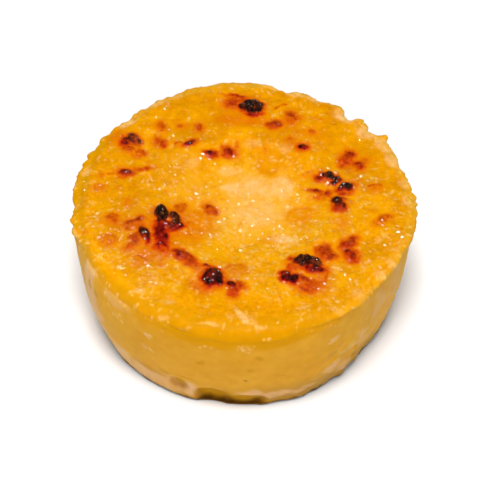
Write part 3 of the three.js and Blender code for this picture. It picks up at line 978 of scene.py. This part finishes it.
def side_ring(side, height):
    """The ring of the side at a height."""

    def points(degrees):
        softness = lip_softness(degrees, LIP_HEIGHT - height)
        bubbles = side.bubbles.at(np.radians(turn_between(degrees, 0.0)) * LIP_RADIUS, height)
        relief = side_relief(degrees, height) + bubbles - pit_depth(degrees, height)
        x, y = polar(side_radius(degrees, height) + relief - softness, degrees)
        return x, y, lip_height(degrees) * height / LIP_HEIGHT - softness

    return points


def side_radius(degrees, height):
    """The radius of the side without its relief: it widens and bulges from foot to lip."""
    share = height / LIP_HEIGHT
    crisp = CRISP_LIP_OVERHANG * around(degrees, *CRISP_STRETCH)
    overhang = (LIP_OVERHANG + crisp) * (1.0 - 0.8 * soft_lip(degrees))
    lip = LIP_RADIUS - overhang + lip_wander(degrees) * share**2
    base = BASE_RADIUS + swell_at(BASE_SWELLS, degrees)
    bulge = (SIDE_BULGE + swell_at(BULGE_SWELLS, degrees)) * math.sin(math.pi * share)
    into_foot = max(0.0, 1.0 - height / FOOT_ROUND)
    foot = FOOT_ROUND * (1.0 - math.sqrt(1.0 - into_foot**2))
    return base + (lip - base) * share + bulge - foot


def side_relief(degrees, height):
    """Shallow dents and ripples of the side, which the tin left almost smooth, with knobs at
    the lower right and creases where the skin runs over the front edge."""
    x, y = polar(HALFWAY_RADIUS, degrees)
    place = np.column_stack([x, y, np.full_like(degrees, height)])
    dents = 0.14 * noise(place, 9.0, NOISE_SEED + 20)
    ripples = 0.05 * layered_noise(place, 2.6, NOISE_SEED + 21)
    near_foot = 0.28 * noise(place, 2.4, NOISE_SEED + 22) * smooth_step(5.0, 0.0, height)
    on_right = around(degrees, -45, 45) * smooth_step(24.0, 10.0, height)
    bent = wander(place, 0.9, 2.3, NOISE_SEED + 25)
    knobs = 0.65 * np.abs(noise(bent, 1.8, NOISE_SEED + 23)) * on_right
    at_wrap = wrap_share(degrees) * smooth_step(21.0, 24.0, height)
    creases = 0.16 * noise(place * (0.3, 0.3, 1.3), 1.8, NOISE_SEED + 24) * at_wrap
    return (dents + ripples + near_foot + knobs + creases) * smooth_step(0.0, 0.6, height)


def distance_from(mark, radius, degrees, height):
    """How far places on the side lie from the middle of a mark or a pit, 1 being its edge."""
    sideways = np.radians(turn_between(degrees, mark.azimuth)) * radius
    return np.hypot(sideways / mark.wide, (height - mark.height) / mark.high)


def pit_depth(degrees, height):
    """How deep the hollows of the side are. At the very foot they run out."""
    depth = np.zeros_like(degrees)
    for pit in SIDE_PITS:
        distance = distance_from(pit, BASE_RADIUS, degrees, height)
        depth = np.maximum(depth, pit.deep * smooth_step(1.05, 0.72, distance))
    return depth * smooth_step(-0.2, 1.4, height)


def underside_ring(radius):
    """A flat ring of the underside."""

    def points(degrees):
        x, y = polar(radius, degrees)
        return x, y, np.zeros_like(x)

    return points


def top_rings(top):
    """The rings of the top, from its middle to the lip."""
    rings = [(1, top_ring(top, 0.0))]
    steps = round(LIP_RADIUS / TOP_STEP)
    for index in range(1, steps + 1):
        share = index / steps
        rings.append((round(2 * math.pi * LIP_RADIUS * share / TOP_STEP), top_ring(top, share)))
    return rings


def side_heights():
    """The heights of the side's rings, each with its fineness: 1 at the lip, 0 lower down."""
    height = LIP_HEIGHT - 0.2
    while height > FOOT_ROUND + 0.2:
        share = float(smooth_step(LIP_HEIGHT - 4.5, LIP_HEIGHT - 0.5, height))
        yield height, share
        height -= SIDE_STEP + (TOP_STEP - SIDE_STEP) * share
    for height in FOOT_HEIGHTS:
        yield height, 0.0


def cake_rings(top, side):
    """Every ring of the cake, as a number of points and a function of their azimuths."""
    rings = top_rings(top)
    fine_points = rings[-1][0]
    coarse_points = round(2 * math.pi * LIP_RADIUS / SIDE_STEP)
    for height, share in side_heights():
        count = round(coarse_points + (fine_points - coarse_points) * share)
        rings.append((count, side_ring(side, height)))
    for radius in np.arange(UNDERSIDE_RADIUS, UNDERSIDE_STEP, -UNDERSIDE_STEP):
        count = max(6, round(2 * math.pi * radius / UNDERSIDE_STEP))
        rings.append((count, underside_ring(radius)))
    rings.append((1, underside_ring(0.0)))
    return rings


def stitch(faces, before, after):
    """Joins two neighbouring rings, which may differ in their number of points."""
    (first, count), (next_first, next_count) = before, after
    here = 0
    there = 0
    while here < count or there < next_count:
        a = first + here % count
        b = next_first + there % next_count
        if (here + 1) / count < (there + 1) / next_count:
            if count > 1:
                faces.append((a, b, first + (here + 1) % count))
            here += 1
        else:
            if next_count > 1:
                faces.append((a, b, next_first + (there + 1) % next_count))
            there += 1


def cake_surface(top, side):
    """The points in millimetres and the triangles of the whole cake."""
    points = []
    faces = []
    first = 0
    before = None
    for count, points_at in cake_rings(top, side):
        degrees = 360.0 * np.arange(count) / count
        points.append(np.column_stack(points_at(degrees)))
        ring = (first, count)
        if before:
            stitch(faces, before, ring)
        before = ring
        first += count
    return np.vstack(points), faces


# Layers: numbers at each point of the mesh, which the material reads by name


def marks_at(marks, degrees, height):
    """How strongly each point of the side lies in one of the marks."""
    total = np.zeros_like(height)
    for mark in marks:
        distance = distance_from(mark, LIP_RADIUS, degrees, height)
        total = np.maximum(total, mark.strength * smooth_step(1.15, 0.55, distance))
    return total


def skin_cover(points, degrees):
    """1 on the top skin and 0 on the side. In front the skin reaches down over the edge."""
    height = points[:, 2]
    wraps = wrap_share(degrees)
    runs_out = run_out_share(degrees)
    streaks = noise(points * (0.4, 0.4, 1.6), 1.6, NOISE_SEED + 31)
    ragged = noise(points, 5.0, NOISE_SEED + 30) + 0.8 * streaks
    edge = SKIN_END - SKIN_WRAP * wraps + (0.3 + 0.7 * wraps) * ragged
    fade = 0.4 + 1.5 * wraps + 1.5 * runs_out
    return smooth_step(edge - fade, edge + 0.4 + 0.3 * wraps, height) * (1.0 - 0.6 * runs_out)


def top_layers(points, top):
    """The layers of the top."""
    x, y, _ = points.T
    soft = layered_noise(points, 2.4, NOISE_SEED + 41)
    burn = top.burn.at(x, y)
    from_middle = np.hypot(x, y) + 4.0 * soft
    from_patch = np.hypot(x - 1.5, y - 0.5) + 3.0 * soft
    not_amber = 1.0 - np.minimum(1.0, 1.3 * top.amber.at(x, y))
    light = 0.7 - 0.6 * smooth_step(7.0, 24.0, from_middle)
    return {
        "burn": burn * (1.0 + 0.3 * noise(points, 0.9, NOISE_SEED + 40)),
        "red": top.red(x, y),
        "stain": top.stain.at(x, y) * (0.85 + 0.5 * soft),
        "cream": top.cream.at(x, y) * (1.0 + 0.9 * soft) * not_amber,
        "fleck": top.fleck.at(x, y) * smooth_step(0.5, 0.25, burn),
        # Painted highlight: lighter on the tops of the bubbles and ridges
        "crest": 2.5 * top.bubbles.at(x, y) + 4.8 * wrinkles(points * (1.0, 1.0, 0.0)),
        "middle": smooth_step(14.5, 4.0, from_patch) * not_amber,
        "light": light + 0.3 * smooth_step(8.0, -24.0, y),
        "bubbly": bubble_share(x, y) * (0.55 + 1.3 * noise(points, 5.0, NOISE_SEED + 47)),
        "grainy": 0.35 + 0.65 * smooth_step(14.0, -12.0, y),
    }


def side_layers(points, degrees, side):
    """The layers of the side."""
    height = points[:, 2]
    soft = layered_noise(points, 2.4, NOISE_SEED + 41)
    upright = layered_noise(points * (1.0, 1.0, 0.25), 1.2, NOISE_SEED + 45)
    bent_degrees = degrees + 2.2 * noise(points, 2.6, NOISE_SEED + 42)
    bent_height = height + 0.9 * noise(points, 2.2, NOISE_SEED + 43)
    cream = marks_at(CREAM_MARKS, bent_degrees, bent_height)
    return {
        "cream": cream * (1.0 + 0.4 * soft + 0.6 * upright),
        # Pale flecks of the side's bubbles, partly painted highlights
        "fleck": side.fleck.at(np.radians(degrees) * LIP_RADIUS, height),
        # Olive spots, and painted shade in the side's hollows
        "olive": marks_at(OLIVE_AND_HOLLOW_SHADE_MARKS, bent_degrees, bent_height),
        "speck": marks_at(SPECKS, degrees, height),
        # low: painted shade, darker custard towards the foot, most at the right front
        "low": smooth_step(11.0, 1.5, height) * (0.4 + 0.6 * around(degrees, -60, 70)),
    }


def edge_layers(points, degrees, on_top):
    """The layers that run over from the top to the side, and the line round the foot."""
    x, y, height = points.T
    from_middle = np.hypot(x, y)
    from_lip = LIP_RADIUS - from_middle
    thin = 0.6 * run_out_share(degrees) * smooth_step(2.0, 0.4, from_lip)
    on_left = sector(degrees, 180, 30, 60)
    towards_lip = smooth_step(6.0 - 2.6 * on_left, 2.4 - 1.4 * on_left, from_lip)
    at_rim = np.where(on_top, smooth_step(2.4, 0.6, from_lip), 1.0)
    pale = (1.0 - amber_and_shaded_lip(degrees)) * (0.8 + 0.5 * noise(points, 2.6, NOISE_SEED + 48))
    at_foot = smooth_step(1.6, 0.7, height + 0.5 * noise(points, 1.3, NOISE_SEED + 46))
    under = smooth_step(BASE_RADIUS - 1.2, BASE_RADIUS - 3.0, from_middle)
    return {
        "skin": np.where(on_top, 1.0 - thin, skin_cover(points, degrees)),
        "dull": np.where(on_top, dull_rim(x, y), 1.0),
        # The lip's own dark amber band, deepened as painted shade where the lip rounds over
        "amber_band_and_lip_shade": amber_and_shaded_lip(degrees) * np.where(on_top, towards_lip, 1.0),
        "rim": at_rim * pale,
        "foot": at_foot * (1.0 - 0.8 * under),
    }


def colour_layers(points, on_top, top, side):
    """All the layers, by name."""
    degrees = azimuth_of(points[:, 0], points[:, 1])
    of_top = top_layers(points, top)
    of_side = side_layers(points, degrees, side)
    layers = edge_layers(points, degrees, on_top)
    nothing = np.zeros(len(points))
    for name in sorted({*of_top, *of_side}):
        value = np.where(on_top, of_top.get(name, nothing), of_side.get(name, nothing))
        layers[name] = np.clip(value, 0.0, 1.0)
    return layers


def make_cake(material):
    """The cake's mesh with its layers, in metres and over the frame's origin."""
    top = Top()
    side = Side()
    points, faces = cake_surface(top, side)
    mesh = bpy.data.meshes.new("cake")
    placed = (points - (CENTRE_X, CENTRE_Y, 0.0)) * MM
    mesh.from_pydata(placed.tolist(), [], faces)
    top_count = sum(count for count, _ in top_rings(top))
    on_top = np.arange(len(points)) < top_count
    for name, values in colour_layers(points, on_top, top, side).items():
        layer = mesh.attributes.new(name, "FLOAT", "POINT")
        layer.data.foreach_set("value", np.asarray(values, dtype=np.float32))
    mesh.polygons.foreach_set("use_smooth", [True] * len(mesh.polygons))
    mesh.materials.append(material)
    mesh.update()
    cake = bpy.data.objects.new("cake", mesh)
    bpy.context.collection.objects.link(cake)
    return cake


# Material


def linear(red, green, blue):
    """A colour as read by eye, from 0 to 255, in the numbers that a shader takes."""
    shares = [value / 255.0 for value in (red, green, blue)]
    return (*[s / 12.92 if s <= 0.04045 else ((s + 0.055) / 1.055) ** 2.4 for s in shares], 1.0)


def stops(*rows):
    """The stops of a ramp, from rows of a place on it and a colour as read by eye."""
    return tuple((place, linear(*colour)) for place, *colour in rows)


SKIN = stops(
    (0.0, 220, 136, 0),
    (0.35, 231, 151, 0),
    (0.7, 245, 165, 0),
    (1.0, 251, 175, 8),
)
CREST_HIGHLIGHT_YELLOW = linear(250, 170, 4)
PALE_MIDDLE = linear(255, 186, 50)
CREAM = linear(255, 200, 122)
PALE_FLECK_AND_GLINT = linear(255, 206, 110)
FOAM_AND_GLINT = linear(250, 216, 158)
STAIN = linear(226, 104, 0)
BAND_AMBER_AND_SHADE = linear(206, 145, 1)
RIM_YELLOW_AND_SHADE = linear(201, 152, 30)
RIM_CREAM = linear(226, 174, 92)
CUSTARD = linear(224, 162, 42)
CUSTARD_DEEP = linear(210, 145, 20)
CUSTARD_PAINTED_SHADE = linear(170, 126, 48)
CUSTARD_CREAM = linear(222, 174, 120)
OLIVE_AND_SHADE = linear(188, 130, 2)
FOOT_BROWN = linear(54, 30, 8)
SPECK_BROWN = linear(110, 60, 20)
BLACK = linear(0, 0, 0)
BROWN_BURN = stops(
    (0.0, 228, 136, 2),
    (0.2, 214, 112, 3),
    (0.4, 186, 80, 5),
    (0.58, 146, 54, 8),
    (0.76, 84, 36, 14),
    (1.0, 24, 18, 15),
)
RED_BURN = stops(
    (0.0, 228, 124, 2),
    (0.2, 216, 92, 3),
    (0.4, 190, 52, 5),
    (0.58, 146, 16, 8),
    (0.76, 84, 8, 9),
    (1.0, 22, 12, 12),
)

# How much darker the skin is between the glaze's bubbles, under its thin film
FILM_DARKENING = 0.17


class Nodes:
    """Builds one material's nodes with short calls."""

    def __init__(self, material):
        self.tree = material.node_tree
        self.tree.nodes.clear()

    def add(self, kind, inputs=None, **settings):
        made = self.tree.nodes.new(kind)
        for name, value in settings.items():
            setattr(made, name, value)
        for name, value in (inputs or {}).items():
            self.put(made.inputs[name], value)
        return made

    def put(self, socket, value):
        if isinstance(value, bpy.types.NodeSocket):
            self.tree.links.new(value, socket)
        else:
            socket.default_value = value

    def layer(self, name):
        return self.add("ShaderNodeAttribute", attribute_name=name).outputs["Fac"]

    def mix(self, share, first, second):
        made = self.add("ShaderNodeMix", {0: share, 6: first, 7: second}, data_type="RGBA")
        return made.outputs[2]

    def mix_numbers(self, share, first, second):
        return self.add("ShaderNodeMix", {0: share, 2: first, 3: second}).outputs[0]

    def math(self, operation, first, second, clamp=False):
        inputs = {0: first, 1: second}
        return self.add("ShaderNodeMath", inputs, operation=operation, use_clamp=clamp).outputs[0]

    def plus(self, first, second):
        return self.math("ADD", first, second)

    def minus(self, first, second, clamp=False):
        return self.math("SUBTRACT", first, second, clamp)

    def times(self, first, second, clamp=False):
        return self.math("MULTIPLY", first, second, clamp)

    def spread(self, value, low, high, to_low=0.0, to_high=1.0):
        ends = {"From Min": low, "From Max": high, "To Min": to_low, "To Max": to_high}
        return self.add("ShaderNodeMapRange", {"Value": value, **ends}).outputs[0]

    def ramp(self, value, colours):
        made = self.add("ShaderNodeValToRGB", {"Fac": value})
        elements = made.color_ramp.elements
        while len(elements) < len(colours):
            elements.new(0.5)
        for element, (place, colour) in zip(elements, colours):
            element.position = place
            element.color = colour
        return made.outputs["Color"]

    def noise(self, place, scale, detail=3.0, roughness=0.55):
        inputs = {"Vector": place, "Scale": scale, "Detail": detail, "Roughness": roughness}
        return self.add("ShaderNodeTexNoise", inputs).outputs["Fac"]


def skin_lightness(n, place, grain, fine):
    """How light the skin is, from its layer and noise of three sizes."""
    broad = n.spread(n.noise(place, 0.2), 0.3, 0.7, -0.3, 0.5)
    middling = n.spread(grain, 0.34, 0.66, -0.3, 0.4)
    small = n.times(n.layer("grainy"), n.spread(fine, 0.34, 0.66, -0.35, 0.35))
    return n.plus(n.plus(n.plus(broad, middling), small), n.layer("light"))


def add_cream(n, colour, grain, fine):
    """The paler, crumbly rim, and the cream patches."""
    rim = n.layer("rim")
    # The rim's darker yellow, partly painted shade on its rounded edge
    colour = n.mix(n.times(rim, n.spread(fine, 0.36, 0.6, 0.3, 0.9), True), colour, RIM_YELLOW_AND_SHADE)
    colour = n.mix(n.times(rim, n.spread(fine, 0.54, 0.66, 0.0, 0.7)), colour, RIM_CREAM)
    crumbly = n.times(n.spread(grain, 0.35, 0.6, 0.5, 1.0), n.spread(fine, 0.36, 0.58, 0.55, 1.15))
    cream = n.times(n.layer("cream"), crumbly, True)
    return n.mix(cream, colour, n.mix(rim, CREAM, RIM_CREAM))


def skin_colour(n, place):
    """The top skin: amber outside, paler in the middle, with stains, cream patches and flecks."""
    grain = n.noise(place, 0.5, 5.0, 0.64)
    fine = n.noise(place, 1.5, 3.0, 0.65)
    colour = n.ramp(n.spread(skin_lightness(n, place, grain, fine), -0.4, 0.95), SKIN)
    pale = n.times(n.layer("middle"), n.spread(grain, 0.38, 0.62, 0.15, 1.0), True)
    colour = n.mix(pale, colour, PALE_MIDDLE)
    # The dark amber band along the lip, partly painted shade where the lip rounds over
    colour = n.mix(n.times(n.layer("amber_band_and_lip_shade"), 0.85), colour, BAND_AMBER_AND_SHADE)
    # Painted highlight: lighter yellow on the tops of the bubbles and ridges
    colour = n.mix(n.times(n.layer("crest"), 0.4), colour, CREST_HIGHLIGHT_YELLOW)
    colour = add_cream(n, colour, grain, fine)
    stain = n.times(n.layer("stain"), n.spread(grain, 0.3, 0.65, 0.6, 1.0), True)
    colour = n.mix(n.times(stain, 0.85), colour, STAIN)
    # Pale flecks, partly painted highlights for soft glints
    return n.mix(n.times(n.layer("fleck"), 0.8), colour, PALE_FLECK_AND_GLINT)


def scorched(n, place, skin):
    """Browns, dark reds and blacks over the skin where it is burnt."""
    fine = n.noise(place, 1.6, 3.0, 0.6)
    burn = n.times(n.layer("burn"), n.spread(fine, 0.3, 0.7, 0.75, 1.2))
    burnt = n.mix(n.layer("red"), n.ramp(burn, BROWN_BURN), n.ramp(burn, RED_BURN))
    return n.mix(n.spread(burn, 0.0, 0.3), skin, burnt)


def side_colour(n, place):
    """The side: smooth custard with painted shade low down, cream, foam with painted
    highlights, olive marks with painted shade in the hollows, and specks.
    """
    broad = n.noise(place, 0.12, 2.0)
    soft = n.noise(place, 0.5, 4.0)
    tone = n.plus(n.spread(broad, 0.3, 0.7, 0.0, 0.6), n.spread(soft, 0.3, 0.7, -0.15, 0.35))
    colour = n.mix(tone, CUSTARD, CUSTARD_DEEP)
    # Painted shade: darker custard towards the foot
    colour = n.mix(n.layer("low"), colour, CUSTARD_PAINTED_SHADE)
    colour = n.mix(n.times(n.layer("cream"), 0.8), colour, CUSTARD_CREAM)
    # Olive spots, and painted shade in the side's hollows
    colour = n.mix(n.times(n.layer("olive"), 0.85), colour, OLIVE_AND_SHADE)
    # Pale foam flecks, partly painted highlights
    colour = n.mix(n.times(n.layer("fleck"), 0.8), colour, FOAM_AND_GLINT)
    colour = n.mix(n.layer("speck"), colour, SPECK_BROWN)
    return n.mix(n.times(n.layer("foot"), 0.85), colour, FOOT_BROWN)


def round_bumps(n, place, spacing, small, large, share):
    """Round bumps between a small and a large radius, of which a share stays. Gives their
    height in millimetres, and a hump from 1 in each one's middle to 0 at its edge."""
    drift = n.add("ShaderNodeTexNoise", {"Vector": place, "Scale": 0.8, "Detail": 1.0})
    moved = {0: drift.outputs["Color"], 1: (1.3,) * 3, 2: place}
    bent = n.add("ShaderNodeVectorMath", moved, operation="MULTIPLY_ADD")
    inputs = {"Vector": bent.outputs[0], "Scale": 1.0 / spacing}
    cells = n.add("ShaderNodeTexVoronoi", inputs, voronoi_dimensions="2D")
    draws = n.add("ShaderNodeSeparateColor", {"Color": cells.outputs["Color"]})
    radius = n.spread(draws.outputs["Red"], 0.0, 1.0, small, large)
    distance = n.math("DIVIDE", n.times(cells.outputs["Distance"], spacing), radius)
    rounded = n.minus(1.0, n.math("POWER", distance, 2.0), True)
    stays = n.math("LESS_THAN", draws.outputs["Green"], share)
    bump = n.times(n.math("POWER", rounded, 2.0), stays)
    steepness = n.spread(draws.outputs["Blue"], 0.0, 1.0, 0.35, 0.5)
    return n.times(bump, n.times(radius, steepness)), bump


def add_glaze(n, place):
    """The glaze: how much of it there is, and its surface. On the skin it gathers in small
    bubbles with only a thin film between. The burns are matt but for small crumbs."""
    burnt = n.spread(n.layer("burn"), 0.15, 0.4)
    bubbles, on_bubble = round_bumps(n, place, 1.1, 0.22, 0.5, n.layer("bubbly"))
    crumb_share = n.spread(n.layer("burn"), 0.4, 0.9, 0.06, 0.6)
    crumbs, on_crumb = round_bumps(n, place, 0.75, 0.2, 0.4, crumb_share)
    uneven = n.spread(n.noise(place, 0.9, 3.0), 0.3, 0.5, 0.6, 1.0)
    on_skin = n.times(uneven, n.spread(on_bubble, 0.0, 0.08, 0.06, 1.0))
    share = n.mix_numbers(burnt, on_skin, n.spread(on_crumb, 0.02, 0.1))
    height = n.mix_numbers(burnt, bubbles, crumbs)
    surface = n.add("ShaderNodeBump", {"Strength": 1.0, "Distance": MM, "Height": height})
    return n.minus(share, n.layer("dull"), True), surface.outputs[0]


def custard_material():
    """Soft baked custard, under a clear coat where there is glaze."""
    material = bpy.data.materials.new("baked_custard")
    material.use_nodes = True
    n = Nodes(material)
    where = n.add("ShaderNodeTexCoord").outputs["Object"]
    in_mm = n.add("ShaderNodeVectorMath", {0: where, 1: (1.0 / MM,) * 3}, operation="MULTIPLY")
    place = in_mm.outputs[0]
    glaze, glaze_surface = add_glaze(n, place)
    film = n.minus(n.minus(1.0, glaze), n.layer("dull"), True)
    skin = n.mix(n.times(film, FILM_DARKENING), skin_colour(n, place), BLACK)
    colour = n.mix(n.layer("skin"), side_colour(n, place), scorched(n, place, skin))
    pores = n.noise(place, 3.2, 4.0, 0.6)
    bump = n.add("ShaderNodeBump", {"Strength": 0.3, "Distance": 0.08 * MM, "Height": pores})
    shader = n.add(
        "ShaderNodeBsdfPrincipled",
        {
            "Base Color": colour,
            "Roughness": 0.45,
            "Normal": bump.outputs[0],
            "IOR": 1.45,
            "Specular IOR Level": 0.03,
            "Subsurface Weight": 0.8,
            "Subsurface Radius": (1.0, 0.6, 0.2),
            "Subsurface Scale": 1.4 * MM,
            "Coat Weight": glaze,
            "Coat Roughness": 0.08,
            "Coat IOR": 2.5,
            "Coat Normal": glaze_surface,
        },
    )
    output = n.add("ShaderNodeOutputMaterial")
    n.tree.links.new(shader.outputs[0], output.inputs[0])
    return material


def floor_material():
    material = bpy.data.materials.new("pale_floor")
    material.use_nodes = True
    shader = material.node_tree.nodes["Principled BSDF"]
    shader.inputs["Base Color"].default_value = (0.9, 0.9, 0.9, 1.0)
    shader.inputs["Roughness"].default_value = 0.9
    shader.inputs["Specular IOR Level"].default_value = 0.1
    return material


# Stage


def make_floor():
    bpy.ops.mesh.primitive_plane_add(size=FLOOR_SIZE, location=(0.0, 0.0, -FLOOR_DEPTH))
    floor = bpy.context.object
    floor.name = "floor"
    floor.data.materials.append(floor_material())
    return floor


def from_angle(azimuth, elevation, distance):
    """A place seen from the cake's middle: azimuth 0 is in front, to the right is positive."""
    turn = math.radians(azimuth)
    rise = math.radians(elevation)
    level = distance * math.cos(rise)
    return Vector((level * math.sin(turn), -level * math.cos(turn), distance * math.sin(rise)))


def aim(thing, target):
    thing.rotation_euler = (target - thing.location).to_track_quat("-Z", "Y").to_euler()


def make_light(name, place, size, power, mirrored=True):
    """A round soft light at an azimuth, an elevation and a distance. One that isn't mirrored
    lights the cake without a sheen on its gloss."""
    light = bpy.data.lights.new(name, "AREA")
    light.shape = "DISK"
    light.size = size
    light.energy = power
    lamp = bpy.data.objects.new(name, light)
    lamp.visible_glossy = mirrored
    bpy.context.collection.objects.link(lamp)
    middle = Vector((0.0, 0.0, 0.5 * LIP_HEIGHT * MM))
    lamp.location = middle + from_angle(*place)
    aim(lamp, middle)


def make_lights():
    make_light("key", (-5.0, 77.0, 2.0), size=0.8, power=43.0)
    make_light("front_fill", (0.0, 42.0, 2.4), size=2.0, power=20.0, mirrored=False)


def make_world():
    world = bpy.data.worlds.new("studio")
    world.use_nodes = True
    background = world.node_tree.nodes["Background"]
    background.inputs["Color"].default_value = (1.0, 1.0, 1.0, 1.0)
    background.inputs["Strength"].default_value = 0.005
    bpy.context.scene.world = world


def make_camera():
    """Looks along +Y from above. Its distance and what it aims at are in millimetres."""
    elevation = 48.6
    distance = 350.0
    lens = 125.1
    aim_point = (-0.57, 0.0, 16.1)
    data = bpy.data.cameras.new("camera")
    data.sensor_width = 36.0
    data.lens = lens
    data.clip_start = 0.01
    camera = bpy.data.objects.new("camera", data)
    bpy.context.collection.objects.link(camera)
    target = Vector((aim_point[0] - CENTRE_X, aim_point[1] - CENTRE_Y, aim_point[2])) * MM
    camera.location = target + from_angle(0.0, elevation, distance * MM)
    aim(camera, target)
    bpy.context.scene.camera = camera


make_camera()
make_world()
make_lights()
bpy.context.scene.view_settings.view_transform = "Standard"

floor = make_floor()

cake = make_cake(custard_material())
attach(cake, "root")
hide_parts("queijada")
